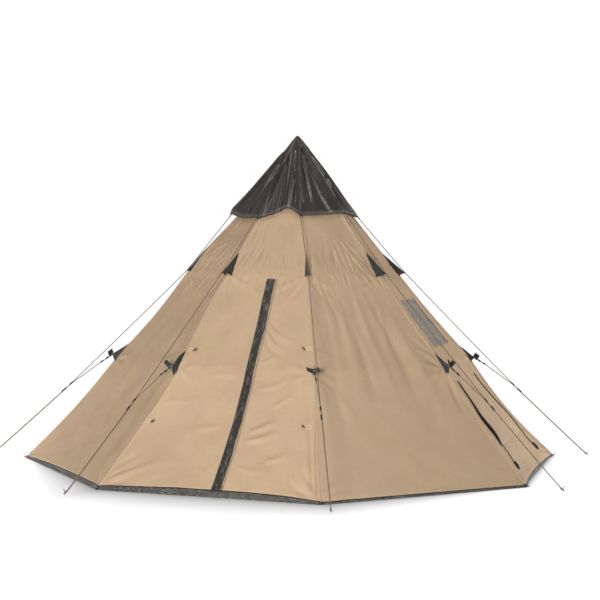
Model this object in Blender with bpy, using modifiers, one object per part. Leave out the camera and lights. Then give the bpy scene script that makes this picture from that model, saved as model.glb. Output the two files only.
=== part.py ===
"""Eight-sided tipi tent with a centre pole, a two-leaf zipped door, vented side walls and eight forked guy lines.

Metres, +Z up. The origin is on the ground under the pole, and the door faces -Y. Azimuths are measured
from -Y towards +X, so the front panel is at 0 degrees and the wall's corners are at 22.5, 67.5 and so on.
"""

import math

import bmesh
import bpy
from mathutils import Matrix, Vector

# Walls: eight gores from the hem to the peak, each bent once at the seam that runs round the tent
SIDES = 8
HEM_RADIUS = 2.86
HEM_HEIGHT = 0.037
SEAM_RADIUS = 1.11
SEAM_HEIGHT = 2.015
PEAK_HEIGHT = 3.43
PEAK_HOLE_RADIUS = 0.06
CLOTH = 0.002
CORNER_INSET = 0.002
TOUCH = 0.0003

# Tub floor
RIM_HEIGHT = 0.075
FLOOR_CLEARANCE = 0.0005

# Door, measured on the front panel: across from its centre line, and up the slope from the hem
DOOR_BELOW_SEAM = 0.07
DOOR_SILL = 0.035
DOOR_SIDE_MARGIN = 0.11
DOOR_GAP = 0.0015
ZIP_SLIT = 0.0006
STORM_FLAP_LEFT = 0.013
STORM_FLAP_WIDTH = 0.088
LEAF_TOP_MARGIN = 0.012
ZIP_BAND = 0.016
ZIP_WIDTH = 0.006
ZIP_THICKNESS = 0.0012
SLIDER_WIDTH = 0.009
SLIDER_LENGTH = 0.028
SLIDER_THICKNESS = 0.004

# Side walls: an upper mesh window, and a lower mesh vent under a top-hinged flap
WINDOW_BELOW_SEAM = 0.34
WINDOW_HEIGHT = 0.60
WINDOW_HALF_TOP = 0.30
WINDOW_HALF_FOOT = 0.385
VENT_SILL = 0.42
VENT_HEIGHT = 0.75
VENT_HALF_TOP = 0.465
VENT_HALF_FOOT = 0.70
VENT_FLAP_MARGIN = 0.018
VENT_FLAP_LIFT = 0.001
NETTING = 0.001
NETTING_MARGIN = 0.015

# Centre pole in three swaged sections, its foot and its rounded top
POLE_RADIUS = 0.016
POLE_WALL = 0.0015
POLE_SECTIONS = 3
SPIGOT_LENGTH = 0.09
PEAK_TO_POLE = 0.07
SLEEVE_WALL = 0.005
SLEEVE_LENGTH = 0.06
DOME_RISE = 0.022
FOOT_RADIUS = 0.045
FOOT_BASE = 0.010
FOOT_CUP = 0.040

# Peak: an inner pocket that sits on the gores, and the rain cap over them
POCKET_LIFT = 0.004
POCKET_RADIUS = 0.115
POCKET_CLOTH = 0.002
CAP_LIFT = 0.057
CAP_CORNER_RADIUS = 0.69
CAP_ARCH = 0.035
CAP_FOLD_DEPTH = 0.007
CAP_FOLDS_PER_SIDE = 3
CAP_STEPS_PER_SIDE = 6
CAP_RINGS = 5

# Corner strap: a seam tape with an upper fin, a middle fin and a peg tab
STRAP_WIDTH = 0.016
STRAP_THICKNESS = 0.002
STRAP_TO_POCKET = 0.026
FIN_THICKNESS = 0.0024
UPPER_FIN_BASE = 0.005
UPPER_FIN_RISE = 0.18
UPPER_FIN_REACH = 0.087
LOOP_WALL = 0.0022
LOOP_LENGTH = 0.012
MIDDLE_FIN_HEIGHT = 1.043
MIDDLE_FIN_RISE = 0.18
MIDDLE_FIN_REACH = 0.08
MIDDLE_FIN_TIP_RISE = 0.075
KEEPER_LENGTH = 0.12
KEEPER_DEPTH = 0.012
KEEPER_THICKNESS = 0.004
TAIL_LENGTH = 0.13
TAIL_DEPTH = 0.012
PEG_TAB_LENGTH = 0.04
PEG_TAB_LIFT = 0.0015
PEG_HOLE_RADIUS = 0.0035

# Guy lines, their tensioners and pegs
CORD_RADIUS = 0.003
CORD_START_OFFSET = 0.012
BRANCH_REACH = 0.34
BRANCH_DROP = 0.25
KNOT_RADIUS = 0.008
GUY_REACH = 0.42
PEG_EYE_HEIGHT = 0.020
PEG_EYE_CLEARANCE = 0.006
EYE_KNOT_RADIUS = 0.0055
PEG_RADIUS = 0.003
PEG_HEAD_HEIGHT = 0.045
PEG_HOOK_RADIUS = 0.010
TENSIONER_FROM_JUNCTION = 0.09
TENSIONER_LENGTH = 0.05
TENSIONER_WIDTH = 0.016
TENSIONER_HEIGHT = 0.010
BORE_CLEARANCE = 0.0004

HALF_ANGLE = math.pi / SIDES
TURN_STEP = 360 / SIDES
CORNERS = (
    "front_right",
    "right_front",
    "right_back",
    "back_right",
    "back_left",
    "left_back",
    "left_front",
    "front_left",
)
PLAIN_WALLS = {
    "wall_front_right": 45,
    "wall_back_right": 135,
    "wall_back": 180,
    "wall_back_left": 225,
    "wall_front_left": 315,
}
VENTED_WALLS = {"right": 90, "left": 270}


# Scene, materials and modelling helpers


def clear_scene():
    for obj in list(bpy.data.objects):
        bpy.data.objects.remove(obj, do_unlink=True)


def new_collection(name):
    collection = bpy.data.collections.new(name)
    bpy.context.scene.collection.children.link(collection)
    return collection


def linear(channel):
    return channel / 12.92 if channel <= 0.04045 else ((channel + 0.055) / 1.055) ** 2.4


def material(name, red, green, blue, roughness, metallic=0.0):
    """A Principled material from an 8-bit colour."""
    made = bpy.data.materials.new(name)
    made.use_nodes = True
    shader = made.node_tree.nodes["Principled BSDF"]
    colour = [linear(channel / 255) for channel in (red, green, blue)]
    shader.inputs["Base Color"].default_value = (*colour, 1)
    shader.inputs["Roughness"].default_value = roughness
    shader.inputs["Metallic"].default_value = metallic
    made.diffuse_color = (*colour, 1)
    return made


def place(name, data, matrix, finish=None, helper=False):
    """An object that holds data at matrix. A helper is hidden from the render and drawn as wires."""
    obj = bpy.data.objects.new(name, data)
    (helpers if helper else parts).objects.link(obj)
    obj.matrix_world = matrix
    if helper:
        obj.hide_render = True
        obj.display_type = "WIRE"
    if finish:
        data.materials.append(finish)
    return obj


def plate(name, outline, thickness, matrix, finish=None, helper=False):
    """A flat sheet: a filled 2D curve with its outline in matrix's XY plane, half its thickness each way."""
    curve = bpy.data.curves.new(name, "CURVE")
    curve.dimensions = "2D"
    curve.fill_mode = "BOTH"
    curve.extrude = thickness / 2
    spline = curve.splines.new("POLY")
    spline.points.add(len(outline) - 1)
    for point, (x, y) in zip(spline.points, outline):
        point.co = (x, y, 0, 1)
    spline.use_cyclic_u = True
    return place(name, curve, matrix, finish, helper)


def tube(name, points, radius, resolution=1, finish=None, helper=False):
    """A round bar along points, as a bevelled curve with filled caps."""
    curve = bpy.data.curves.new(name, "CURVE")
    curve.dimensions = "3D"
    curve.bevel_depth = radius
    curve.bevel_resolution = resolution
    curve.use_fill_caps = True
    spline = curve.splines.new("POLY")
    spline.points.add(len(points) - 1)
    for point, place_of in zip(spline.points, points):
        point.co = (*place_of, 1)
    return place(name, curve, Matrix.Identity(4), finish, helper)


def solid_mesh(name, build_shape, matrix=None, finish=None, helper=False):
    """A mesh object whose shape is made by build_shape(bm)."""
    bm = bmesh.new()
    build_shape(bm)
    mesh = bpy.data.meshes.new(name)
    bm.to_mesh(mesh)
    bm.free()
    return place(name, mesh, matrix or Matrix.Identity(4), finish, helper)


def block(name, size, matrix, helper=True):
    """A box of size, centred on matrix."""

    def shape(bm):
        bmesh.ops.create_cube(bm, size=1)
        bmesh.ops.scale(bm, vec=size, verts=bm.verts)

    return solid_mesh(name, shape, matrix, helper=helper)


def rod(name, radius, start, end, segments=12, helper=True):
    """A cylinder from start to end."""
    start, end = Vector(start), Vector(end)
    turn = (end - start).to_track_quat("Z", "Y").to_matrix().to_4x4()

    def shape(bm):
        bmesh.ops.create_cone(
            bm,
            cap_ends=True,
            segments=segments,
            radius1=radius,
            radius2=radius,
            depth=(end - start).length,
        )

    matrix = Matrix.Translation((start + end) / 2) @ turn
    return solid_mesh(name, shape, matrix, helper=helper)


def ball(name, radius, centre):
    def shape(bm):
        bmesh.ops.create_icosphere(bm, subdivisions=1, radius=radius)

    return solid_mesh(name, shape, Matrix.Translation(centre), helper=True)


def turned(name, profile, steps, finish, turn=0.0):
    """A ring or a solid of revolution: a profile of (radius, height) swept round the pole's axis."""
    mesh = bpy.data.meshes.new(name)
    edges = [(i, (i + 1) % len(profile)) for i in range(len(profile))]
    if profile[0][0] == 0 and profile[-1][0] == 0:
        edges.pop()
    mesh.from_pydata([(radius, 0, height) for radius, height in profile], edges, [])
    obj = place(name, mesh, Matrix.Rotation(turn, 4, "Z"), finish)
    screw = obj.modifiers.new("round the pole", "SCREW")
    screw.axis = "Z"
    screw.angle = 2 * math.pi
    screw.steps = steps
    screw.render_steps = steps
    screw.use_merge_vertices = True
    screw.merge_threshold = 0.00001
    screw.use_normal_calculate = False
    return obj


def as_mesh(obj):
    """The object's evaluated shape as a mesh, with a curve's caps welded. The object is removed."""
    bpy.context.view_layer.update()
    graph = bpy.context.evaluated_depsgraph_get()
    mesh = bpy.data.meshes.new_from_object(obj.evaluated_get(graph))
    bm = bmesh.new()
    bm.from_mesh(mesh)
    bmesh.ops.remove_doubles(bm, verts=bm.verts, dist=0.000001)
    bm.to_mesh(mesh)
    bm.free()
    bpy.data.objects.remove(obj)
    return mesh


def mesh_from(obj, matrix=None):
    """The same object as a mesh object at its own place, or at matrix with the shape left where it was."""
    name, at, helper = obj.name, obj.matrix_world.copy(), obj.hide_render
    finish = obj.data.materials[0] if obj.data.materials else None
    mesh = as_mesh(obj)
    mesh.name = name
    mesh.materials.clear()
    if matrix is not None:
        mesh.transform(matrix.inverted() @ at)
        at = matrix
    return place(name, mesh, at, finish, helper)


def combine(obj, others, operation):
    """Joins helpers to obj, or cuts them from it."""
    for number, other in enumerate(others):
        boolean = obj.modifiers.new(f"{operation.lower()} {number}", "BOOLEAN")
        boolean.operation = operation
        boolean.solver = "EXACT"
        boolean.object = other
    return obj


def finished(obj, used):
    """The object's evaluated shape, after which it and the helpers that made it are removed."""
    mesh = as_mesh(obj)
    for helper in used:
        bpy.data.objects.remove(helper)
    return mesh


def copy_round(mesh, name, azimuth, finish, local=None):
    """One copy of a piece that was modelled at azimuth 0."""
    turn = Matrix.Rotation(math.radians(azimuth), 4, "Z")
    obj = place(name, mesh, turn @ (local or Matrix.Identity(4)))
    if not mesh.materials:
        mesh.materials.append(finish)
    return obj


def ride(child, parent):
    """Parents child without moving it."""
    bpy.context.view_layer.update()
    at = child.matrix_world.copy()
    child.parent = parent
    child.matrix_world = at


# Geometry that several pieces share


def edge_radius(height):
    """From the pole's axis to the walls' outer corner line, at a height."""
    if height <= SEAM_HEIGHT:
        slope = (HEM_RADIUS - SEAM_RADIUS) / (SEAM_HEIGHT - HEM_HEIGHT)
        return SEAM_RADIUS + (SEAM_HEIGHT - height) * slope
    return SEAM_RADIUS * (PEAK_HEIGHT - height) / (PEAK_HEIGHT - SEAM_HEIGHT)


def peak_line(radius, lift=0.0):
    """The height of the walls' corner line above the seam, or of a cone that stands lift above it."""
    return PEAK_HEIGHT + lift - radius * (PEAK_HEIGHT - SEAM_HEIGHT) / SEAM_RADIUS


def panel_corners():
    """The middles of the front panel's hem and of its seam."""
    low = Vector((0, -HEM_RADIUS * math.cos(HALF_ANGLE), HEM_HEIGHT))
    high = Vector((0, -SEAM_RADIUS * math.cos(HALF_ANGLE), SEAM_HEIGHT))
    return low, high


def panel_length():
    low, high = panel_corners()
    return (high - low).length


def panel_frame(across=0.0, up_slope=0.0, lift=0.0):
    """A frame on the front panel's outer face: X across, Y up the slope from the hem, Z outward."""
    low, high = panel_corners()
    x_axis = Vector((1, 0, 0))
    y_axis = (high - low).normalized()
    z_axis = x_axis.cross(y_axis)
    axes = Matrix((x_axis, y_axis, z_axis)).transposed().to_4x4()
    return Matrix.Translation(low) @ axes @ Matrix.Translation((across, up_slope, lift))


def shifted(outline, across, up_slope):
    return [(x - across, y - up_slope) for x, y in outline]


def trapezoid(foot, height, half_foot, half_top, margin=0.0):
    """An upright trapezoid on a panel, grown by margin on every side."""
    return [
        (-half_foot - margin, foot - margin),
        (half_foot + margin, foot - margin),
        (half_top + margin, foot + height + margin),
        (-half_top - margin, foot + height + margin),
    ]


def radial(point):
    """A (radius, height) point in the vertical plane at azimuth 0."""
    return Vector((0, -point[0], point[1]))


# The corner plane's frame: X outward from the pole, Y up
RADIAL_FRAME = Matrix(((0, 0, -1, 0), (-1, 0, 0, 0), (0, 1, 0, 0), (0, 0, 0, 1)))


def offset_path(path, distance):
    """The path moved outward by distance, mitred at its bends. The path runs from the ground up."""
    normals = []
    for (r0, h0), (r1, h1) in zip(path, path[1:]):
        length = math.hypot(r1 - r0, h1 - h0)
        normals.append(Vector(((h1 - h0) / length, (r0 - r1) / length)))
    moved = []
    for number, point in enumerate(path):
        before = normals[max(number - 1, 0)]
        after = normals[min(number, len(normals) - 1)]
        middle = (before + after).normalized()
        reach = distance / middle.dot(after)
        moved.append((point[0] + middle.x * reach, point[1] + middle.y * reach))
    return moved


def toward(start, end, length):
    """The point that lies length from start in the direction of end, in a corner plane."""
    span = Vector(end) - Vector(start)
    return tuple(Vector(start) + span * (length / span.length))


def upper_tip():
    height = SEAM_HEIGHT
    return edge_radius(height) + UPPER_FIN_REACH, height


def middle_tip():
    height = MIDDLE_FIN_HEIGHT + MIDDLE_FIN_TIP_RISE
    return edge_radius(height) + MIDDLE_FIN_REACH, height


def tail_direction():
    return Vector((BRANCH_REACH, -BRANCH_DROP)).normalized()


def tail_end():
    return tuple(Vector(middle_tip()) + tail_direction() * TAIL_LENGTH)


def junction():
    """Where the branch line meets the main line."""
    radius, height = tail_end()
    return radius + BRANCH_REACH, height - BRANCH_DROP


def peg_eye():
    """The centre of the loop that the line's lower end makes round the peg."""
    return HEM_RADIUS + GUY_REACH, PEG_EYE_HEIGHT


def eye_radius():
    return PEG_RADIUS + PEG_EYE_CLEARANCE


def line_end():
    """Where the main line is tied off, on the near side of its eye."""
    radius, height = peg_eye()
    return radius - eye_radius(), height


def cord_start():
    cap_corner = (CAP_CORNER_RADIUS, peak_line(CAP_CORNER_RADIUS, CAP_LIFT))
    return toward(cap_corner, upper_tip(), CORD_START_OFFSET)


# Floor


def slant_thickness(thickness):
    """How much a wall's thickness takes off its corner radius, on a level cut below the seam."""
    low, high = panel_corners()
    sine = (high.z - low.z) / (high - low).length
    return thickness / sine / math.cos(HALF_ANGLE)


def make_floor(sheet_finish):
    rim_outer = slant_thickness(CLOTH + FLOOR_CLEARANCE)
    rim_inner = rim_outer + slant_thickness(CLOTH)
    profile = [
        (edge_radius(RIM_HEIGHT) - rim_outer, RIM_HEIGHT),
        (edge_radius(0) - rim_outer, 0),
        (edge_radius(0) - rim_inner, 0),
        (edge_radius(RIM_HEIGHT) - rim_inner, RIM_HEIGHT),
    ]
    turned("floor_rim", profile, SIDES, sheet_finish, HALF_ANGLE)
    sheet_radius = edge_radius(CLOTH) - rim_inner - FLOOR_CLEARANCE
    sheet = [(0, CLOTH), (sheet_radius, CLOTH), (sheet_radius, 0), (0, 0)]
    turned("floor_sheet", sheet, SIDES, sheet_finish, HALF_ANGLE)


# Walls, netting and vent flaps


def wall_blank(name):
    """The front gore from hem to peak, as a bent sheet with its outer face on the nominal surface."""
    heights = {-1: HEM_HEIGHT, 0: SEAM_HEIGHT, 1: peak_line(PEAK_HOLE_RADIUS)}

    def shape(bm):
        bmesh.ops.create_grid(bm, x_segments=1, y_segments=2, size=1)
        for vert in bm.verts:
            height = heights[round(vert.co.y)]
            radius = edge_radius(height)
            half_width = radius * math.sin(HALF_ANGLE) - CORNER_INSET
            side = round(vert.co.x)
            vert.co = (side * half_width, -radius * math.cos(HALF_ANGLE), height)

    wall = solid_mesh(name, shape, helper=True)
    solidify = wall.modifiers.new("cloth", "SOLIDIFY")
    solidify.thickness = CLOTH
    solidify.offset = -1
    solidify.use_even_offset = True
    return wall


def opening_cutter(name, outline):
    return mesh_from(plate(name, outline, 10 * CLOTH, panel_frame(), helper=True))


def window_outline(margin=0.0):
    foot = panel_length() - WINDOW_BELOW_SEAM - WINDOW_HEIGHT
    return trapezoid(foot, WINDOW_HEIGHT, WINDOW_HALF_FOOT, WINDOW_HALF_TOP, margin)


def vent_outline(margin=0.0):
    return trapezoid(VENT_SILL, VENT_HEIGHT, VENT_HALF_FOOT, VENT_HALF_TOP, margin)


def make_plain_walls(finish):
    mesh = finished(wall_blank("plain wall"), [])
    for name, azimuth in PLAIN_WALLS.items():
        copy_round(mesh, name, azimuth, finish)


def make_vented_walls(wall_finish, net_finish):
    cutters = [
        opening_cutter("window cut", window_outline()),
        opening_cutter("vent cut", vent_outline()),
    ]
    wall = combine(wall_blank("vented wall"), cutters, "DIFFERENCE")
    mesh = finished(wall, cutters)
    net_lift = -CLOTH - TOUCH - NETTING / 2
    flap_lift = VENT_FLAP_LIFT + CLOTH / 2
    hinge_height = VENT_SILL + VENT_HEIGHT + VENT_FLAP_MARGIN
    flap_outline = shifted(vent_outline(VENT_FLAP_MARGIN), 0, hinge_height)
    for side, azimuth in VENTED_WALLS.items():
        turn = Matrix.Rotation(math.radians(azimuth), 4, "Z")
        copy_round(mesh, f"wall_{side}", azimuth, wall_finish)
        nets = {
            f"window_net_{side}": window_outline(NETTING_MARGIN),
            f"vent_net_{side}": vent_outline(NETTING_MARGIN),
        }
        for name, outline in nets.items():
            plate(name, outline, NETTING, turn @ panel_frame(lift=net_lift), net_finish)
        at = turn @ panel_frame(0, hinge_height, flap_lift)
        plate(f"vent_flap_{side}", flap_outline, CLOTH, at, wall_finish)


# Door


def door_top():
    return panel_length() - DOOR_BELOW_SEAM


def zip_line():
    """Where the two leaves meet, across from the front panel's centre line."""
    return STORM_FLAP_LEFT + STORM_FLAP_WIDTH + ZIP_BAND


def door_half_foot():
    return HEM_RADIUS * math.sin(HALF_ANGLE) - DOOR_SIDE_MARGIN


def left_leaf_outline():
    inner = zip_line() - ZIP_SLIT / 2
    return [
        (-door_half_foot(), DOOR_SILL),
        (inner, DOOR_SILL),
        (inner, door_top()),
        (STORM_FLAP_LEFT - LEAF_TOP_MARGIN, door_top()),
    ]


def right_leaf_outline():
    inner = zip_line() + ZIP_SLIT / 2
    return [
        (inner, DOOR_SILL),
        (door_half_foot(), DOOR_SILL),
        (zip_line() + LEAF_TOP_MARGIN, door_top()),
        (inner, door_top()),
    ]


def door_outline():
    """Both leaves' outline, with the gap that they swing in."""
    left, right = left_leaf_outline(), right_leaf_outline()
    return [
        (left[0][0] - 2 * DOOR_GAP, DOOR_SILL - DOOR_GAP),
        (right[1][0] + 2 * DOOR_GAP, DOOR_SILL - DOOR_GAP),
        (right[2][0] + DOOR_GAP, door_top() + DOOR_GAP),
        (left[3][0] - DOOR_GAP, door_top() + DOOR_GAP),
    ]


def make_door(wall_finish, flap_finish, zip_finish, metal_finish):
    cutter = opening_cutter("door cut", door_outline())
    wall = combine(wall_blank("door wall blank"), [cutter], "DIFFERENCE")
    copy_round(finished(wall, [cutter]), "door_wall", 0, wall_finish)

    leaf_lift = -CLOTH / 2
    left = left_leaf_outline()
    left_hinge = left[3]
    left_leaf = plate(
        "door_leaf_left",
        shifted(left, *left_hinge),
        CLOTH,
        panel_frame(*left_hinge, leaf_lift),
        wall_finish,
    )
    right = right_leaf_outline()
    right_hinge = right[2]
    plate(
        "door_leaf_right",
        shifted(right, *right_hinge),
        CLOTH,
        panel_frame(*right_hinge, leaf_lift),
        wall_finish,
    )

    flap_foot = DOOR_SILL + DOOR_GAP
    flap_top = door_top() - DOOR_GAP
    flap_lift = TOUCH + CLOTH / 2
    flap_outline = [
        (0, flap_foot - flap_top),
        (STORM_FLAP_WIDTH, flap_foot - flap_top),
        (STORM_FLAP_WIDTH, 0),
        (0, 0),
    ]
    flap_at = panel_frame(STORM_FLAP_LEFT, flap_top, flap_lift)
    ride(plate("storm_flap", flap_outline, CLOTH, flap_at, flap_finish), left_leaf)

    zip_across = zip_line() - ZIP_BAND / 2
    zip_length = flap_top - flap_foot
    zip_outline = [
        (-ZIP_WIDTH / 2, 0),
        (ZIP_WIDTH / 2, 0),
        (ZIP_WIDTH / 2, zip_length),
        (-ZIP_WIDTH / 2, zip_length),
    ]
    zip_lift = TOUCH + ZIP_THICKNESS / 2
    zip_at = panel_frame(zip_across, flap_foot, zip_lift)
    ride(plate("door_zip", zip_outline, ZIP_THICKNESS, zip_at, zip_finish), left_leaf)

    slider_lift = 2 * TOUCH + ZIP_THICKNESS + SLIDER_THICKNESS / 2
    slider_at = panel_frame(zip_across, flap_foot + SLIDER_LENGTH, slider_lift)
    slider_size = (SLIDER_WIDTH, SLIDER_LENGTH, SLIDER_THICKNESS)
    slider = block("zip_slider", slider_size, slider_at, helper=False)
    slider.data.materials.append(metal_finish)
    bevel = slider.modifiers.new("rounded edges", "BEVEL")
    bevel.width = SLIDER_THICKNESS / 4
    bevel.segments = 2
    ride(slider, left_leaf)


# Centre pole


def make_pole(steel_finish, plastic_finish):
    cup_bore = POLE_RADIUS + TOUCH
    floor_top = CLOTH + TOUCH
    base_top = floor_top + FOOT_BASE
    cup_radius = cup_bore + SLEEVE_WALL
    foot = [
        (cup_radius, base_top + FOOT_CUP),
        (cup_radius, base_top),
        (FOOT_RADIUS, base_top - FOOT_BASE / 3),
        (FOOT_RADIUS, floor_top),
        (0, floor_top),
        (0, base_top),
        (cup_bore, base_top),
        (cup_bore, base_top + FOOT_CUP),
    ]
    turned("pole_foot", closed_on_axis(foot), 24, plastic_finish)

    start = base_top + TOUCH
    pole_top = PEAK_HEIGHT - PEAK_TO_POLE
    length = (pole_top - start) / POLE_SECTIONS
    names = ("pole_lower", "pole_middle", "pole_upper")
    for number, name in enumerate(names):
        foot_height = start + number * length + (TOUCH if number else 0)
        top_height = start + (number + 1) * length
        last = number == len(names) - 1
        profile = pole_profile(foot_height, top_height, 0 if last else SPIGOT_LENGTH)
        turned(name, profile, 24, steel_finish)

    sleeve = [
        (0, pole_top + TOUCH + DOME_RISE),
        (cup_radius * 0.5, pole_top + TOUCH + DOME_RISE * 0.87),
        (cup_radius * 0.87, pole_top + TOUCH + DOME_RISE * 0.5),
        (cup_radius, pole_top + TOUCH),
        (cup_radius, pole_top - SLEEVE_LENGTH),
        (cup_bore, pole_top - SLEEVE_LENGTH),
        (cup_bore, pole_top + TOUCH),
        (0, pole_top + TOUCH),
    ]
    turned("pole_top", sleeve, 24, plastic_finish)


def closed_on_axis(profile):
    """The profile reordered to begin and end on the axis."""
    first = max(i for i, point in enumerate(profile) if point[0] == 0)
    return profile[first:] + profile[:first]


def pole_profile(foot, top, spigot):
    """A steel tube that ends in a swaged spigot, or that is cut square where spigot is 0."""
    bore = POLE_RADIUS - POLE_WALL
    if not spigot:
        return [(POLE_RADIUS, top), (POLE_RADIUS, foot), (bore, foot), (bore, top)]
    neck = bore - TOUCH
    shoulder = 2 * POLE_WALL
    return [
        (neck, top + spigot),
        (neck, top),
        (POLE_RADIUS, top),
        (POLE_RADIUS, foot),
        (bore, foot),
        (bore, top - shoulder),
        (neck - POLE_WALL, top + shoulder),
        (neck - POLE_WALL, top + spigot),
    ]


# Peak


def make_pocket(finish):
    outer = POCKET_LIFT + 2 * POCKET_CLOTH
    profile = [
        (0, peak_line(0, outer)),
        (POCKET_RADIUS, peak_line(POCKET_RADIUS, outer)),
        (POCKET_RADIUS, peak_line(POCKET_RADIUS, POCKET_LIFT)),
        (0, peak_line(0, POCKET_LIFT)),
    ]
    turned("peak_pocket", profile, SIDES, finish, HALF_ANGLE)


def cap_point(angle, share):
    """A point of the rain cap at an angle from a corner, share of the way from its top to its hem."""
    side = 2 * HALF_ANGLE
    along = (angle % side) / side
    octagon = math.cos(HALF_ANGLE) / math.cos((along - 0.5) * side)
    corner_radius = CAP_CORNER_RADIUS * share
    radius = corner_radius * octagon
    between = math.sin(math.pi * along)
    folds = math.sin(math.pi * along * CAP_FOLDS_PER_SIDE) ** 2 * between
    radius += CAP_FOLD_DEPTH * folds * share
    height = peak_line(corner_radius, CAP_LIFT) + CAP_ARCH * between * share**3
    return radius, height


def make_cap(finish):
    steps = SIDES * CAP_STEPS_PER_SIDE

    def shape(bm):
        ring = [bm.verts.new((share, 0, 0)) for share in ring_shares()]
        edges = [bm.edges.new(pair) for pair in zip(ring, ring[1:])]
        bmesh.ops.spin(
            bm,
            geom=ring + edges,
            axis=(0, 0, 1),
            cent=(0, 0, 0),
            angle=2 * math.pi,
            steps=steps,
            use_merge=True,
        )
        bmesh.ops.remove_doubles(bm, verts=bm.verts, dist=0.00001)
        for vert in bm.verts:
            share = math.hypot(vert.co.x, vert.co.y)
            angle = math.atan2(vert.co.y, vert.co.x)
            radius, height = cap_point(angle, share)
            vert.co = (radius * math.cos(angle), radius * math.sin(angle), height)
        bmesh.ops.recalc_face_normals(bm, faces=bm.faces)
        if sum(face.normal.z for face in bm.faces) < 0:
            bmesh.ops.reverse_faces(bm, faces=bm.faces)

    cap = solid_mesh("rain_cap", shape, Matrix.Rotation(HALF_ANGLE, 4, "Z"), finish)
    solidify = cap.modifiers.new("cloth", "SOLIDIFY")
    solidify.thickness = CLOTH
    solidify.offset = -1
    solidify.use_even_offset = True
    cap.data.shade_smooth()


def ring_shares():
    return [number / CAP_RINGS for number in range(CAP_RINGS + 1)]


# Corner straps


def strap_path():
    """The corner line that a strap follows, from its peg tab on the ground to below the peak."""
    foot_radius = edge_radius(PEG_TAB_LIFT)
    top_radius = POCKET_RADIUS + STRAP_TO_POCKET
    return [
        (foot_radius + PEG_TAB_LENGTH, PEG_TAB_LIFT),
        (foot_radius, PEG_TAB_LIFT),
        (SEAM_RADIUS, SEAM_HEIGHT),
        (top_radius, peak_line(top_radius)),
    ]


def in_strap(height):
    """A point in the middle of the strap's thickness."""
    return edge_radius(height) + 1.3 * (TOUCH + STRAP_THICKNESS / 2), height


def corner_plate(name, outline, thickness):
    return mesh_from(plate(name, outline, thickness, RADIAL_FRAME, helper=True))


def make_straps(finish):
    inner = offset_path(strap_path(), TOUCH)
    outer = offset_path(strap_path(), TOUCH + STRAP_THICKNESS)
    strap = corner_plate("strap", inner + outer[::-1], STRAP_WIDTH)

    base = SEAM_HEIGHT + UPPER_FIN_BASE
    tip = upper_tip()
    fin = [in_strap(base), tip, in_strap(base + UPPER_FIN_RISE)]
    upper_fin = corner_plate("upper fin", fin, FIN_THICKNESS)
    arriving = (Vector(tip) - Vector(cord_start())).normalized()
    leaving = (Vector(junction()) - Vector(tip)).normalized()
    along = (arriving + leaving).normalized()
    ends = [Vector(tip) + along * side * LOOP_LENGTH / 2 for side in (-1, 1)]
    bore_radius = CORD_RADIUS + 2 * BORE_CLEARANCE
    loop_radius = bore_radius + LOOP_WALL
    loop = rod("upper loop", loop_radius, radial(ends[0]), radial(ends[1]))

    middle = middle_tip()
    low = MIDDLE_FIN_HEIGHT
    fin = [in_strap(low), middle, in_strap(low + MIDDLE_FIN_RISE)]
    middle_fin = corner_plate("middle fin", fin, FIN_THICKNESS)
    run = tail_direction()
    side = Vector((-run.y, run.x)) * TAIL_DEPTH / 2
    start, end = Vector(middle) - run * TAIL_DEPTH, Vector(tail_end())
    strip = [start - side, end - side, end + side, start + side]
    tail = corner_plate("tail", [tuple(point) for point in strip], FIN_THICKNESS)
    centre = radial(Vector(middle))
    size = (KEEPER_LENGTH, KEEPER_DEPTH, KEEPER_THICKNESS)
    keeper = block("keeper", size, Matrix.Translation(centre))

    hole_radius = edge_radius(0) + PEG_TAB_LENGTH * 0.65
    deep = 10 * STRAP_THICKNESS
    hole = rod(
        "peg hole", PEG_HOLE_RADIUS, (0, -hole_radius, -deep), (0, -hole_radius, deep)
    )
    bores = []
    for name, run in (("upper bore", -arriving), ("lower bore", leaving)):
        start = Vector(tip) - run * bore_radius
        end = Vector(tip) + run * 2 * LOOP_LENGTH
        bores.append(rod(name, bore_radius, radial(start), radial(end)))

    added = [upper_fin, loop, middle_fin, tail, keeper]
    combine(strap, added, "UNION")
    combine(strap, [hole, *bores], "DIFFERENCE")
    mesh = finished(strap, [*added, hole, *bores])
    for name, azimuth in corner_azimuths():
        copy_round(mesh, f"corner_strap_{name}", azimuth, finish, RADIAL_FRAME)


def corner_azimuths():
    return [(name, TURN_STEP * (number + 0.5)) for number, name in enumerate(CORNERS)]


# Guy lines


def make_guy_lines(finish):
    eye = peg_eye()
    main = [cord_start(), upper_tip(), junction(), line_end()]
    line = mesh_from(tube("line", [radial(point) for point in main], CORD_RADIUS))
    start = Vector(tail_end()) + tail_direction() * TOUCH
    end = Vector(junction()) - tail_direction() * KNOT_RADIUS / 2
    branch = rod("branch", CORD_RADIUS, radial(start), radial(end), segments=6)
    knot = ball("knot", KNOT_RADIUS, radial(junction()))
    eye_knot = ball("eye knot", EYE_KNOT_RADIUS, radial(line_end()))
    eye_points = [
        (
            eye_radius() * math.cos(turn),
            -eye[0] + eye_radius() * math.sin(turn),
            eye[1],
        )
        for turn in (2 * math.pi * step / 12 for step in range(12))
    ]
    loop = tube("eye", eye_points, CORD_RADIUS, helper=True)
    loop.data.splines[0].use_cyclic_u = True
    loop = mesh_from(loop)
    added = [knot, branch, eye_knot, loop]
    mesh = finished(combine(line, added, "UNION"), added)
    for name, azimuth in corner_azimuths():
        copy_round(mesh, f"guy_line_{name}", azimuth, finish)


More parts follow.
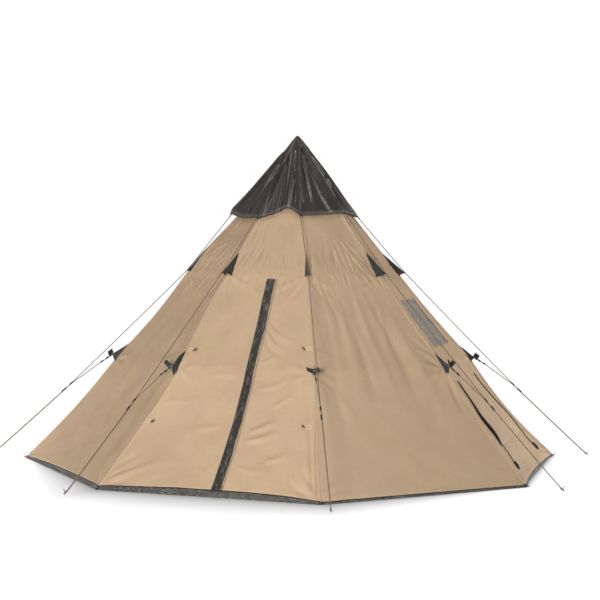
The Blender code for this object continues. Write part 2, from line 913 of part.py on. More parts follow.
def make_tensioners(finish):
    start, end = junction(), line_end()
    run = (radial(end) - radial(start)).normalized()
    centre = radial(start) + run * TENSIONER_FROM_JUNCTION
    across = Vector((1, 0, 0))
    axes = Matrix((run, across, run.cross(across))).transposed().to_4x4()
    at = Matrix.Translation(centre) @ axes
    size = (TENSIONER_LENGTH, TENSIONER_WIDTH, TENSIONER_HEIGHT)
    body = block("tensioner", size, Matrix.Identity(4))
    bevel = body.modifiers.new("rounded edges", "BEVEL")
    bevel.width = TENSIONER_HEIGHT / 5
    bevel.segments = 1
    half = TENSIONER_LENGTH
    bore = rod("bore", CORD_RADIUS + BORE_CLEARANCE, (-half, 0, 0), (half, 0, 0))
    mesh = finished(combine(body, [bore], "DIFFERENCE"), [bore])
    for name, azimuth in corner_azimuths():
        copy_round(mesh, f"tensioner_{name}", azimuth, finish, at)


def make_pegs(finish):
    """Steel pegs, of which only the part above the ground is modelled."""
    radius = peg_eye()[0]
    points = [Vector((0, -radius, 0)), Vector((0, -radius, PEG_HEAD_HEIGHT))]
    for step in range(1, 7):
        turn = math.pi * step / 7
        reach = PEG_HOOK_RADIUS * (1 - math.cos(turn))
        rise = PEG_HOOK_RADIUS * math.sin(turn)
        points.append(Vector((0, -radius - reach, PEG_HEAD_HEIGHT + rise)))
    mesh = as_mesh(tube("peg", points, PEG_RADIUS, helper=True))
    for name, azimuth in corner_azimuths():
        copy_round(mesh, f"guy_peg_{name}", azimuth, finish)


def main():
    tan = material("tan polyester", 200, 172, 138, 0.62)
    charcoal = material("charcoal polyester", 62, 58, 52, 0.45)
    grey_tub = material("grey floor sheet", 98, 95, 90, 0.5)
    webbing = material("black webbing", 38, 36, 33, 0.8)
    netting = material("grey netting", 128, 116, 108, 0.9)
    coil = material("zip coil", 45, 42, 38, 0.5)
    cord = material("grey cord", 110, 106, 100, 0.8)
    plastic = material("black plastic", 30, 29, 28, 0.4)
    steel = material("steel", 150, 150, 152, 0.35, 1.0)

    make_floor(grey_tub)
    make_plain_walls(tan)
    make_vented_walls(tan, netting)
    make_door(tan, charcoal, coil, plastic)
    make_pole(steel, plastic)
    make_pocket(webbing)
    make_cap(charcoal)
    make_straps(webbing)
    make_guy_lines(cord)
    make_tensioners(plastic)
    make_pegs(steel)


clear_scene()
parts = new_collection("tipi_tent")
helpers = new_collection("cutters")
main()
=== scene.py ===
"""Looks of an eight-sided tipi tent on a centre pole: cloth, webbing, cords, finishes, camera and light."""

import math
from functools import partial

import bmesh
import bpy
import numpy as np
from mathutils import Matrix, Vector


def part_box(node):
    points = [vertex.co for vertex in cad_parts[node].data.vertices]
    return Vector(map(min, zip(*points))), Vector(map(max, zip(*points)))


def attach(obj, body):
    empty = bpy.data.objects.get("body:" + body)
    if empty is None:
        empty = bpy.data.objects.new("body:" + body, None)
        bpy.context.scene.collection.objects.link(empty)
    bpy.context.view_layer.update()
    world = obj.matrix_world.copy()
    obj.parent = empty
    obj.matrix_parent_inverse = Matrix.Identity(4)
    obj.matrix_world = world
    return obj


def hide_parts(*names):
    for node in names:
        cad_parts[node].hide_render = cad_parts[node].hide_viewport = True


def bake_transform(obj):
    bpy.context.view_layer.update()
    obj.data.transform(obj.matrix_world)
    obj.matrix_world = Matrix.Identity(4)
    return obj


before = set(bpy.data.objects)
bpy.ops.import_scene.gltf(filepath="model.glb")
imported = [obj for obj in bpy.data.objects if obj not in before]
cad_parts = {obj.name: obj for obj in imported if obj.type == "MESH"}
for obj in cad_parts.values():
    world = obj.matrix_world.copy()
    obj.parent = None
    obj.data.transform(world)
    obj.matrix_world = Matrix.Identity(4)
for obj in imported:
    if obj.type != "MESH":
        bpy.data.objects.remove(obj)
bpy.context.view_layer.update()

# Driving sizes, as in the CAD model
SIDES = 8
GORE_STEP = 360 / SIDES
HALF_GORE = math.pi / SIDES
HEM_RADIUS = 2.86
HEM_HEIGHT = 0.037
SEAM_RADIUS = 1.11
SEAM_HEIGHT = 2.015
PEAK_HEIGHT = 3.43
PEAK_HOLE = 0.06
CLOTH = 0.0012
DOOR_SILL = 0.035
DOOR_TOP = 2.4847
ZIP_LINE = 0.117
FLAP_LEFT = 0.013
FLAP_WIDTH = 0.088
LEFT_HINGE = ((-0.98447, 0.035), (0.001, 2.4847))
RIGHT_HINGE = ((0.98447, 0.035), (0.129, 2.4847))
CAP_LIFT = 0.057
CAP_CORNER = (0.69, 2.607)
UPPER_TIP = (1.197, 2.015)
MIDDLE_TIP = (1.9836, 1.118)
TAIL_END = (2.0883, 1.0410)
JUNCTION = (2.4283, 0.7910)
LINE_END = (3.271, 0.020)
PEG_EYE = (3.28, 0.020)
CORD_RADIUS = 0.003

# The openings of the side walls: foot and head up the slope, and half the width at each
WINDOW = (1.6147, 2.2147, 0.385, 0.30)
VENT = (0.42, 1.17, 0.70, 0.465)

# Thicknesses of the other cloths and tapes
TAPE = 0.0012
THIN_TAPE = 0.0010
SHEET = 0.0008
LINING = 0.0006
NET = 0.0005
GUSSET_CLOTH = 0.0016

# The lower walls' lean from the upright, in degrees, and a gore's width along the hem
WALL_LEAN = 39.26
GORE_WIDTH = 2.19

# The corners' names, in order round the tent from the front right one
CORNERS = ("front_right", "right_front", "right_back", "back_right")
CORNERS += ("back_left", "left_back", "left_front", "front_left")

# How far each corner of the cap is pulled: outward, sideways (to the right from outside) and up, in metres
CAP_PULLS = {0: (0.0, -0.036, 0.006), 1: (-0.034, 0.0, 0.042), 2: (-0.026, 0.0, 0.014)}
CAP_PULLS.update({6: (0.026, 0.0, 0.024), 7: (0.0, 0.024, -0.014)})

# Middle fins: heights of the head and the foot, how far each foot stands from the corner, and the tip's shift
MIDDLE_FINS = {
    0: (1.150, 1.060, 0.018, 0.018, (0.0, -0.015, -0.010)),
    1: (1.250, 1.035, 0.018, 0.020, (0.0, 0.006, -0.004)),
    2: (1.235, 1.060, 0.016, 0.016, (0.0, 0.0, -0.024)),
    6: (1.240, 1.045, 0.020, 0.020, (0.0, 0.0, 0.0)),
    7: (1.254, 1.018, 0.010, 0.010, (-0.025, 0.040, -0.016)),
}
USUAL_MIDDLE_FIN = (1.250, 1.030, 0.024, 0.024, (0.0, 0.0, 0.0))

# How far the lines' second strand lies beside the first, and the radius that both are drawn with
STRAND_GAP = 0.0052
LINE_LOOK = 0.0040

# Camera, at the photograph's viewing angle
CAMERA_PLACE = (4.3653, -14.3009, 2.2084)
CAMERA_AZIMUTH = 16.825
CAMERA_PITCH = -1.896
CAMERA_ROLL = 0.631
CAMERA_LENS = 82.51

# Grid sizes of the cloth
GORE_ROWS_BELOW = 150
GORE_ROWS_ABOVE = 90
FINE_COLUMNS = 124
PLAIN_COLUMNS = 84

# The columns of the door's left leaf, and the rows between the door's top and the level seam
LEFT_COLUMNS = 66
BAND_ROWS = 4


# Places on the tent


UP = Vector((0, 0, 1))


def turned(azimuth, out, height):
    """A point at a distance from the pole, in the direction of an azimuth in degrees."""
    angle = math.radians(azimuth)
    return Vector((out * math.sin(angle), -out * math.cos(angle), height))


def around(angle, out, height):
    """Many points, each at its own distance from the pole, angle in radians and height."""
    return np.stack([out * np.sin(angle), -out * np.cos(angle), height], -1)


def paired(first, second):
    return np.stack([first, second], -1)


def between(start, end, share):
    return start + (end - start) * share


def bell(offset, reach=1.0):
    return np.exp(-((offset / reach) ** 2))


def ridge(aside, groove, reach):
    """A rounded ridge with a shallow groove along each side."""
    return bell(aside) - groove * bell(aside, reach)


def octagon(share):
    """An octagon's distance from its middle, its corners' being 1, at a share along one side."""
    return FLAT / np.cos((share - 0.5) * 2 * HALF_GORE)


def crown_height(distance):
    """The height of the upper slope's corner lines at a distance from the pole."""
    return PEAK_HEIGHT - distance * (PEAK_HEIGHT - SEAM_HEIGHT) / SEAM_RADIUS


FLAT = math.cos(HALF_GORE)
TOP_HEIGHT = crown_height(PEAK_HOLE)
LOWER_LENGTH = math.hypot((HEM_RADIUS - SEAM_RADIUS) * FLAT, SEAM_HEIGHT - HEM_HEIGHT)
UPPER_LENGTH = math.hypot((SEAM_RADIUS - PEAK_HOLE) * FLAT, TOP_HEIGHT - SEAM_HEIGHT)
FULL_LENGTH = LOWER_LENGTH + UPPER_LENGTH

# How far a push square to the corners and to the walls moves them outward and up
CORNER_NORMAL = (0.77, 0.64)
WALL_NORMAL = (0.79, 0.61)


def slope_place(up):
    """Distance from the pole and height of a wall's middle line, at a distance up its slope."""
    low = up / LOWER_LENGTH
    high = (up - LOWER_LENGTH) / UPPER_LENGTH
    above = up > LOWER_LENGTH
    distance = np.where(above, between(SEAM_RADIUS, PEAK_HOLE, high), between(HEM_RADIUS, SEAM_RADIUS, low))
    height = np.where(above, between(SEAM_HEIGHT, TOP_HEIGHT, high), between(HEM_HEIGHT, SEAM_HEIGHT, low))
    return distance * FLAT, height


def half_width(up):
    return slope_place(np.asarray(up, float))[0] * math.tan(HALF_GORE)


def up_at(height):
    """The distance up the slope of a height."""
    if height < SEAM_HEIGHT:
        return (height - HEM_HEIGHT) / (SEAM_HEIGHT - HEM_HEIGHT) * LOWER_LENGTH
    return LOWER_LENGTH + (height - SEAM_HEIGHT) / (TOP_HEIGHT - SEAM_HEIGHT) * UPPER_LENGTH


# How far each corner's cloth is drawn in between its fastenings, at the hem, the middle and the upper fins
CORNER_SAGS = ((HEM_HEIGHT, 1.118, 0.030), (1.118, 2.03, 0.014), (2.03, PEAK_HEIGHT, 0.016))
SLACK_CORNER_SAGS = {2: 0.052, 7: 0.045}

# The corner whose upper line draws the cloth out, and how far
TAUTEST_CORNER = 6
TAUTEST_PULL = 0.055

# Corners whose cloth leans to one side: how far to the right, at which height, and over what reach
CORNER_LEANS = {0: (-0.048, 0.0, 0.85), 7: (0.100, 1.02, 0.40)}

# How far the hem is drawn in on a side, and how far up the slope that reaches
HEM_DRAWS = {2: 0.062}
HEM_DRAW_REACH = 0.30

# How high the hem's middle stands on each side, and how far it drops at each corner
HEM_ARCHES = {0: 0.040, 1: -0.010, 2: -0.028, 7: 0.014, 6: 0.024}
HEM_ARCH_USUAL = 0.016
HEM_DROPS = {6: 0.022, 7: -0.004, 0: 0.014, 1: 0.014, 2: 0.012}


def corner_pull(corner, height):
    """How far a corner's cloth stands out from the straight line between its fastenings."""
    corner %= SIDES
    pull = np.zeros_like(height)
    for low, high, sag in CORNER_SAGS:
        if low == HEM_HEIGHT:
            sag = SLACK_CORNER_SAGS.get(corner, sag)
        share = np.clip((height - low) / (high - low), 0, 1)
        pull -= sag * np.sin(math.pi * share)
    if corner == TAUTEST_CORNER:
        pull += TAUTEST_PULL * bell(height - 2.15, 0.5)
    return pull


# Folds as (start, end, width, height, bow), with their ends across and up the gore in metres of flat cloth
FRONT_FOLDS = (
    ((-0.207, 3.223), (-0.267, 2.773), 0.022, 0.004, 0.0),
    ((-0.140, 3.224), (-0.155, 2.793), 0.020, -0.004, 0.0),
    ((0.013, 3.202), (0.095, 2.772), 0.030, 0.004, 0.0),
    ((0.105, 3.293), (0.281, 2.749), 0.024, -0.003, 0.0),
    ((-0.328, 2.470), (-0.231, 2.330), 0.016, 0.004, 0.02),
    ((-0.402, 2.436), (-0.347, 2.340), 0.014, 0.003, 0.0),
    ((-0.222, 2.479), (-0.168, 2.383), 0.014, -0.003, 0.0),
    ((-0.158, 2.480), (-0.031, 2.248), 0.018, 0.004, 0.01),
    ((-0.072, 2.472), (0.003, 2.385), 0.013, -0.003, 0.0),
    ((0.119, 2.447), (0.158, 2.301), 0.014, 0.003, 0.0),
    ((0.163, 2.437), (0.229, 2.273), 0.015, -0.003, 0.01),
    ((0.257, 2.482), (0.353, 2.318), 0.016, 0.004, 0.01),
    ((0.220, 0.707), (0.500, 0.850), 0.034, 0.009, 0.01),
    ((0.199, 0.585), (0.540, 0.715), 0.036, 0.010, 0.01),
    ((0.171, 1.469), (0.300, 1.560), 0.026, 0.006, 0.0),
    ((0.377, 0.983), (0.600, 1.110), 0.030, 0.006, 0.0),
    ((0.450, 0.375), (0.700, 0.465), 0.034, 0.007, 0.0),
    ((0.126, 1.864), (0.470, 1.551), 0.026, 0.005, 0.04),
    ((0.131, 1.760), (0.400, 1.560), 0.024, -0.004, 0.04),
    ((0.105, 1.980), (0.540, 1.690), 0.026, 0.005, 0.05),
    ((0.200, 1.180), (0.560, 1.330), 0.032, 0.005, 0.02),
    ((0.210, 0.300), (0.480, 0.270), 0.034, 0.005, 0.02),
    ((-1.011, 0.088), (-0.484, 0.370), 0.036, 0.005, 0.0),
    ((-1.036, 0.172), (-0.727, 0.521), 0.036, -0.004, 0.0),
    ((-0.832, 1.684), (-0.500, 1.635), 0.022, 0.003, 0.0),
    ((-0.850, 0.967), (-0.354, 1.049), 0.030, 0.003, 0.0),
    ((-0.100, 1.330), (-0.420, 1.260), 0.030, 0.004, 0.02),
    ((-0.080, 0.760), (-0.460, 0.640), 0.034, 0.004, 0.02),
    ((0.801, 0.291), (1.017, 0.048), 0.034, 0.005, 0.0),
    ((0.729, 0.182), (1.004, 0.017), 0.034, -0.005, 0.0),
    ((1.030, 0.020), (0.745, 1.150), 0.034, -0.013, 0.0),
)
NEXT_FOLDS = (
    ((-0.248, 2.797), (-0.437, 2.346), 0.050, 0.007, 0.0),
    ((-0.189, 2.729), (-0.150, 2.595), 0.020, 0.003, 0.0),
    ((0.293, 3.012), (0.346, 2.771), 0.022, 0.003, 0.0),
    ((0.301, 2.734), (0.427, 2.563), 0.020, -0.004, 0.0),
    ((-0.121, 2.485), (-0.201, 2.219), 0.022, -0.004, 0.0),
    ((-0.330, 2.346), (-0.353, 1.850), 0.026, 0.004, 0.0),
    ((-0.310, 2.473), (-0.227, 1.726), 0.026, -0.004, 0.0),
    ((-0.640, 1.630), (-0.429, 1.791), 0.022, -0.004, 0.0),
    ((-0.640, 1.610), (-0.460, 1.542), 0.022, 0.004, 0.0),
    ((0.702, 1.500), (0.513, 1.833), 0.026, 0.005, 0.0),
    ((0.690, 1.480), (0.382, 1.650), 0.026, 0.004, 0.02),
    ((0.741, 1.213), (0.778, 0.739), 0.034, -0.006, 0.0),
    ((-0.167, 2.219), (-0.284, 1.254), 0.050, 0.005, 0.0),
    ((0.301, 2.215), (0.163, 1.236), 0.050, 0.005, 0.02),
    ((0.050, 2.400), (0.020, 1.700), 0.040, 0.004, 0.0),
    ((0.560, 1.060), (0.420, 0.420), 0.060, 0.005, 0.0),
    ((-0.560, 1.200), (-0.380, 0.500), 0.060, 0.004, 0.0),
)
PREVIOUS_FOLDS = (
    ((-0.123, 3.231), (-0.142, 3.120), 0.018, 0.004, 0.0),
    ((-0.032, 2.938), (-0.218, 2.778), 0.020, 0.005, 0.0),
    ((0.163, 2.751), (-0.031, 2.571), 0.022, 0.005, 0.0),
    ((-0.202, 2.416), (-0.317, 2.223), 0.022, 0.005, 0.0),
    ((0.046, 2.454), (-0.041, 2.296), 0.020, 0.005, 0.0),
    ((-0.610, 1.500), (-0.590, 1.330), 0.020, 0.005, 0.0),
    ((-0.520, 1.480), (-0.500, 1.320), 0.020, 0.004, 0.0),
    ((0.560, 1.500), (0.200, 1.380), 0.040, 0.006, 0.02),
)
OWN_FOLDS = {0: FRONT_FOLDS, 1: NEXT_FOLDS, 7: PREVIOUS_FOLDS}

# Gores whose long waves aren't as high as the others'
WAVE_HEIGHTS = {7: 0.0025}


def in_turn(number):
    """-1 and 1 by turns, from the first fold on."""
    return 1 if number % 2 else -1


def gathers(draw, count, from_up, reach, height):
    """Short folds that hang from a line of stitches, or stand on it where reach is more than zero."""
    half = float(half_width(from_up)) - 0.03
    folds = []
    for number in range(count):
        across = half * (2 * (number + draw.uniform(0.2, 0.8)) / count - 1)
        length = reach * draw.uniform(0.5, 1.0)
        lean = (0.22 * across + draw.uniform(-0.03, 0.03)) * length / 0.2
        start = (across, from_up + math.copysign(0.006, reach))
        end = (across - lean, from_up + length)
        width = draw.uniform(0.011, 0.018)
        rise = in_turn(number) * height * draw.uniform(0.6, 1.0)
        folds.append((start, end, width, rise, draw.uniform(-0.008, 0.008)))
    return folds


def fan(draw, side, from_up, angles, reach, height):
    """Folds that run into the cloth from a fastening at its side, at these angles from the level."""
    start = (side * (float(half_width(from_up)) - 0.012), from_up)
    folds = []
    for number, angle in enumerate(angles):
        angle = math.radians(angle + draw.uniform(-5, 5))
        length = reach * draw.uniform(0.6, 1.0)
        end = (start[0] - side * math.cos(angle) * length, from_up + math.sin(angle) * length)
        width = draw.uniform(0.020, 0.034)
        rise = in_turn(number) * height * draw.uniform(0.6, 1.0)
        folds.append((start, end, width, rise, draw.uniform(-0.02, 0.02)))
    return folds


def slack_waves(draw, count, low, high, height):
    """Long soft folds of loose cloth, that run up the slope."""
    folds = []
    for number in range(count):
        foot = low + draw.uniform(0, 0.15) * (high - low)
        head = high - draw.uniform(0, 0.25) * (high - low)
        share = 2 * (number + draw.uniform(0.3, 0.7)) / count - 1
        start = (0.8 * share * float(half_width(head)), head)
        end = (0.85 * share * float(half_width(foot)) + draw.uniform(-0.06, 0.06), foot)
        width = draw.uniform(0.05, 0.09)
        folds.append((start, end, width, in_turn(number) * height, draw.uniform(-0.03, 0.03)))
    return folds


def gore_folds(gore):
    """Every fold of one gore: those of its own, and those that its stitches and fastenings make."""
    draw = np.random.default_rng(40 + gore)
    folds = list(OWN_FOLDS.get(gore, ()))
    folds += gathers(draw, 17, LOWER_LENGTH, -0.19, 0.0046)
    folds += gathers(draw, 13, LOWER_LENGTH, 0.14, 0.0030)
    folds += gathers(draw, 9, FULL_LENGTH - 0.72, 0.5, 0.0050)
    folds += gathers(draw, 11, LOWER_LENGTH + 0.02, 0.55, 0.0052)
    folds += gathers(draw, 22, 0.05, 0.09, 0.0022)
    folds += slack_waves(draw, 6, 0.3, 2.4, WAVE_HEIGHTS.get(gore, 0.0065))
    for side in (-1, 1):
        folds += fan(draw, side, LOWER_LENGTH - 0.03, (-70, -58, -44, -28), 0.5, 0.0045)
        folds += fan(draw, side, LOWER_LENGTH + 0.08, (62, 74), 0.4, 0.0035)
        folds += fan(draw, side, 1.36, (-52, -30, -8, 14, 36, 58), 0.32, 0.0045)
        folds += fan(draw, side, 0.03, (14, 28, 44), 0.42, 0.0045)
    return folds


FOLDS = [gore_folds(gore) for gore in range(SIDES)]

# How far each wall's lower and upper cloth hangs in, and how much deeper the folds are than they are listed
HOLLOWS = (0.040, 0.034, 0.020, 0.035, 0.035, 0.035, 0.020, 0.036)
UPPER_HOLLOW = 0.012
FOLD_DEPTH = 2.4
RIPPLE_DEPTH = 0.0036

# How near the corners the cloth eases onto its seams
CORNER_EASE = 0.035


def fold_rise(fold, across, up):
    """How far one fold lifts the cloth. Its start is crisp, and it widens and dies away toward its end."""
    start, end, width, height, bow = fold
    run = (end[0] - start[0], end[1] - start[1])
    length = math.hypot(*run)
    along = ((across - start[0]) * run[0] + (up - start[1]) * run[1]) / length**2
    along = np.clip(along, 0, 1)
    aside = ((across - start[0]) * run[1] - (up - start[1]) * run[0]) / length
    aside = aside - bow * np.sin(math.pi * along)
    spread = aside / (width * (0.7 + 0.6 * along))
    swell = np.sin(math.pi * along**0.6)
    return FOLD_DEPTH * height * swell * ridge(spread, 0.35, 2.4)


def ripple(gore, across, up):
    """Gentle unevenness of stretched cloth."""
    draw = np.random.default_rng(80 + gore)
    total = np.zeros_like(across)
    for _ in range(7):
        pitch = draw.uniform(0.25, 0.7)
        angle = draw.uniform(0, math.pi)
        phase = draw.uniform(0, 2 * math.pi)
        way = (across * math.cos(angle) + up * math.sin(angle)) * 2 * math.pi / pitch
        total += np.sin(way + phase) * pitch * RIPPLE_DEPTH
    return total


def slack(gore, across, up, share, half):
    """How far a gore's cloth stands off its flat panel. It is nothing at the corners."""
    gore %= SIDES
    low = np.clip(up / LOWER_LENGTH, 0, 1)
    high = np.clip((up - LOWER_LENGTH) / UPPER_LENGTH, 0, 1)
    hollow = HOLLOWS[gore] * np.sin(math.pi * low) + UPPER_HOLLOW * np.sin(math.pi * high)
    rise = -hollow * (1 - share**2)
    lift = ripple(gore, across, up)
    for fold in FOLDS[gore]:
        lift = lift + fold_rise(fold, across, up)
    from_corner = np.clip((half - np.abs(across)) / CORNER_EASE, 0, 1)
    from_hem = np.clip((up + 0.02) / 0.05, 0, 1)
    return rise + lift * from_corner * from_corner * (3 - 2 * from_corner) * from_hem


def wall_point(gore, across, up, lift=0.0):
    """Points of a wall, across from its middle line and up its slope from the hem, lifted off its cloth."""
    across, up = np.broadcast_arrays(np.asarray(across, float), np.asarray(up, float))
    angle = math.radians(GORE_STEP * gore)
    outward = np.array((math.sin(angle), -math.cos(angle), 0))
    sideways = np.array((math.cos(angle), math.sin(angle), 0))
    upward = np.array((0.0, 0.0, 1.0))
    distance, height = slope_place(up)
    half = distance * math.tan(HALF_GORE)
    share = np.clip(across / half, -1, 1)
    rise = slack(gore, across, up, share, half) + lift
    point = distance[..., None] * outward + across[..., None] * sideways + height[..., None] * upward
    point = point + rise[..., None] * (WALL_NORMAL[0] * outward + WALL_NORMAL[1] * upward)
    for side, corner in ((-1, gore - 1), (1, gore)):
        pull = corner_pull(corner, height) * (1 + side * share) / 2
        point = point + pull[..., None] * corner_normal(corner)
        lean = corner_lean(corner, height) * ((1 + side * share) / 2) ** 3
        point = point + lean[..., None] * corner_sideways(corner)
    draw = HEM_DRAWS.get(gore % SIDES, 0.0) * bell(up, HEM_DRAW_REACH) * (1 - share**2)
    return point - draw[..., None] * outward


def corner_lean(corner, height):
    """How far a corner's cloth leans to the right of its own upright plane."""
    lean, centre, reach = CORNER_LEANS.get(corner % SIDES, (0.0, 0.0, 1.0))
    return lean * bell(height - centre, reach)


def corner_sideways(corner):
    return np.array(turned(corner_azimuth(corner) + 90, 1, 0))


def corner_azimuth(corner):
    return GORE_STEP * (corner + 0.5)


def at_corner(corner, out, height):
    """A point in the upright plane through a corner."""
    return turned(corner_azimuth(corner), out, height)


def corner_shift(corner, out, sideways, up):
    """A shift given as seen from outside a corner: outward, to the right and up."""
    return at_corner(corner, out, up) + turned(corner_azimuth(corner) + 90, sideways, 0)


def cap_pull(corner):
    return corner_shift(corner, *CAP_PULLS.get(corner, (0, 0, 0)))


def cap_corner(corner):
    return at_corner(corner, *CAP_CORNER) + cap_pull(corner)


def corner_normal(corner):
    """The direction square to a corner's edge, in the upright plane through it."""
    return np.array(at_corner(corner, *CORNER_NORMAL))


def corner_point(corner, up, lift):
    """Points of a corner's edge, up its slope from the hem."""
    up = np.asarray(up, float)
    return wall_point(corner, half_width(up), up) + lift * corner_normal(corner)


def lifted(gore, flat, lift):
    """Points of a wall at flat places, with those places. The lift may be a function of the place."""
    across, up = flat[:, 0], flat[:, 1]
    return wall_point(gore, across, up, lift(across, up) if callable(lift) else lift), flat


def hem(gore, share):
    """How far up the slope a gore's lower edge lies."""
    arch = HEM_ARCHES.get(gore % SIDES, HEM_ARCH_USUAL) * (1 - share**2) ** 0.7
    left = HEM_DROPS.get((gore - 1) % SIDES, 0.0) * ((1 - share) / 2) ** 4
    right = HEM_DROPS.get(gore % SIDES, 0.0) * ((1 + share) / 2) ** 4
    return arch - left - right


# Making meshes


def unit_grid(columns, rows):
    """A flat grid of cells, with the share across and along of each vertex."""
    bm = bmesh.new()
    bmesh.ops.create_grid(bm, x_segments=columns, y_segments=rows, size=0.5)
    shares = np.array([vert.co[:2] for vert in bm.verts]) + 0.5
    return bm, shares[:, 0], shares[:, 1]


def move_vertices(bm, points):
    for vert, point in zip(bm.verts, np.asarray(points).tolist()):
        vert.co = point


def lay_out(bm, points, flat):
    """Moves the vertices to their points, and writes their flat places, in metres, into the UV map."""
    layer = bm.loops.layers.uv.new("cloth")
    flat = np.asarray(flat).tolist()
    bm.verts.index_update()
    for face in bm.faces:
        for loop in face.loops:
            loop[layer].uv = flat[loop.vert.index]
    move_vertices(bm, points)


def placed_grid(columns, rows, place):
    """A grid. place(across, along) takes shares from 0 to 1 and gives points and flat places."""
    bm, across, along = unit_grid(columns, rows)
    lay_out(bm, *place(across, along))
    return bm


def new_piece(name, bm, finish, smooth=50):
    """Turns a bmesh into an object with a finish, and smooths all but its sharp edges."""
    mesh = bpy.data.meshes.new(name)
    bm.to_mesh(mesh)
    bm.free()
    mesh.materials.append(finish.material)
    mesh.shade_smooth()
    mesh.set_sharp_from_angle(angle=math.radians(smooth))
    obj = bpy.data.objects.new(name, mesh)
    bpy.context.scene.collection.objects.link(obj)
    return obj


def thicken(bm, thickness):
    bmesh.ops.solidify(bm, geom=bm.faces[:], thickness=thickness)


def weld(bm):
    bmesh.ops.remove_doubles(bm, verts=bm.verts, dist=0.00002)


def laid(name, columns, rows, place, thickness, finish, closed=False, smooth=50):
    """A sheet on a grid, with its edges welded where it closes on itself."""
    bm = placed_grid(columns, rows, place)
    if closed:
        weld(bm)
    thicken(bm, thickness)
    return new_piece(name, bm, finish, smooth)


def joined(name, finish, patches, thickness):
    """One piece from several grids. Each patch is (columns, rows, place)."""
    bm = bmesh.new()
    bm.loops.layers.uv.new("cloth")
    for patch in patches:
        part = placed_grid(*patch)
        mesh = bpy.data.meshes.new("patch")
        part.to_mesh(mesh)
        part.free()
        bm.from_mesh(mesh)
        bpy.data.meshes.remove(mesh)
    weld(bm)
    if thickness:
        thicken(bm, thickness)
    return new_piece(name, bm, finish)


def smooth_path(points, steps):
    """Points along one smooth curve through the given ones, evenly shared between them."""
    points = [Vector(point) for point in points]
    ends = [2 * points[0] - points[1], *points, 2 * points[-1] - points[-2]]
    path = []
    for first, start, end, last in zip(ends, ends[1:], ends[2:], ends[3:]):
        for step in range(steps):
            t = step / steps
            square = (2 * first - 5 * start + 4 * end - last) * t * t
            cube = (3 * start - first - 3 * end + last) * t**3
            path.append(0.5 * (2 * start + (end - first) * t + square + cube))
    return [*path, points[-1]]


def cord_piece(name, points, radius, finish, cyclic=False, resolution=2):
    """A round cord along a line of points."""
    curve = bpy.data.curves.new(name, "CURVE")
    curve.dimensions = "3D"
    spline = curve.splines.new("POLY")
    spline.points.add(len(points) - 1)
    for place, point in zip(spline.points, points):
        place.co = (*point, 1)
    spline.use_cyclic_u = cyclic
    spline.use_smooth = True
    curve.bevel_depth = radius
    curve.bevel_resolution = resolution
    curve.use_fill_caps = not cyclic
    curve.materials.append(finish.material)
    obj = bpy.data.objects.new(name, curve)
    bpy.context.scene.collection.objects.link(obj)
    return obj


def coil(centre, axis, radius, pitch, turns, per_turn=10):
    """Points of a wrapping round an axis, from its near end."""
    axis = axis.normalized()
    side = axis.orthogonal().normalized()
    other = axis.cross(side)
    points = []
    for step in range(int(turns * per_turn) + 1):
        turn = step / per_turn
        angle = 2 * math.pi * turn
        across = side * math.cos(angle) + other * math.sin(angle)
        points.append(Vector(centre) + axis * pitch * turn + across * radius)
    return points


def knot_piece(name, centre, axis, radius, pitch, turns, cord_radius, finish):
    """A cord wrapped round an axis."""
    path = smooth_path(coil(centre, axis, radius, pitch, turns), 2)
    return cord_piece(name, path, cord_radius, finish)


def ride_tent(*pieces):
    for piece in pieces:
        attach(piece, "tent")


def stand_in(piece, node, body="tent"):
    """Puts a piece on a body, in place of one of the frame's nodes."""
    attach(piece, body)
    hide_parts(node)


def offset_points(origin, axes, rows):
    """Points given as distances from an origin along some axes."""
    return [origin + sum((axis * step for axis, step in zip(axes, row)), Vector()) for row in rows]


def webbing_place(path, sides, width, taper):
    """Where a flat strap's top face lies, along a path, with the direction across it at each point."""
    path = np.array([tuple(point) for point in path])
    sides = np.array([tuple(Vector(side).normalized()) for side in sides])
    steps = np.linalg.norm(np.diff(path, axis=0), axis=1)
    lengths = np.concatenate([[0], np.cumsum(steps)])

    def place(across, along):
        way = along * lengths[-1]
        centre = np.stack([np.interp(way, lengths, path[:, axis]) for axis in range(3)], -1)
        side = np.stack([np.interp(way, lengths, sides[:, axis]) for axis in range(3)], -1)
        half = width / 2 * (1 + (taper - 1) * along)
        offset = (2 * across - 1) * half
        return centre + offset[:, None] * side, paired(offset, way)

    return place


def strap(name, path, sides, width, thickness, finish, taper=1.0, rows=None):
    """A flat strap along a path."""
    place = webbing_place(path, sides, width, taper)
    return laid(name, 4, rows or 3 * len(path), place, thickness, finish, smooth=40)


def spun(name, profile, base, axis, finish):
    """A turned shape. Its profile is (radius, height) along the axis, from the foot up."""
    bm = bmesh.new()
    ring = [bm.verts.new((radius, 0, height)) for radius, height in profile]
    edges = [bm.edges.new(pair) for pair in zip(ring, ring[1:])]
    round_turn = {"cent": (0, 0, 0), "axis": (0, 0, 1), "angle": 2 * math.pi, "steps": 20}
    bmesh.ops.spin(bm, geom=ring + edges, use_merge=True, **round_turn)
    bmesh.ops.remove_doubles(bm, verts=bm.verts, dist=0.00001)
    bmesh.ops.recalc_face_normals(bm, faces=bm.faces)
    turn = UP.rotation_difference(axis).to_matrix().to_4x4()
    bmesh.ops.transform(bm, matrix=Matrix.Translation(base) @ turn, verts=bm.verts)
    return new_piece(name, bm, finish, 35)


# Finishes


def linear(red, green, blue):
    """A colour given as it looks on a screen, from 0 to 255, as Blender's linear colour."""
    channels = []
    for value in (red, green, blue):
        value /= 255
        channels.append(value / 12.92 if value <= 0.04045 else ((value + 0.055) / 1.055) ** 2.4)
    return (*channels, 1.0)


# The angle, in radians, that a wave texture turns through for each unit of its scale
WAVE_TURN = 20

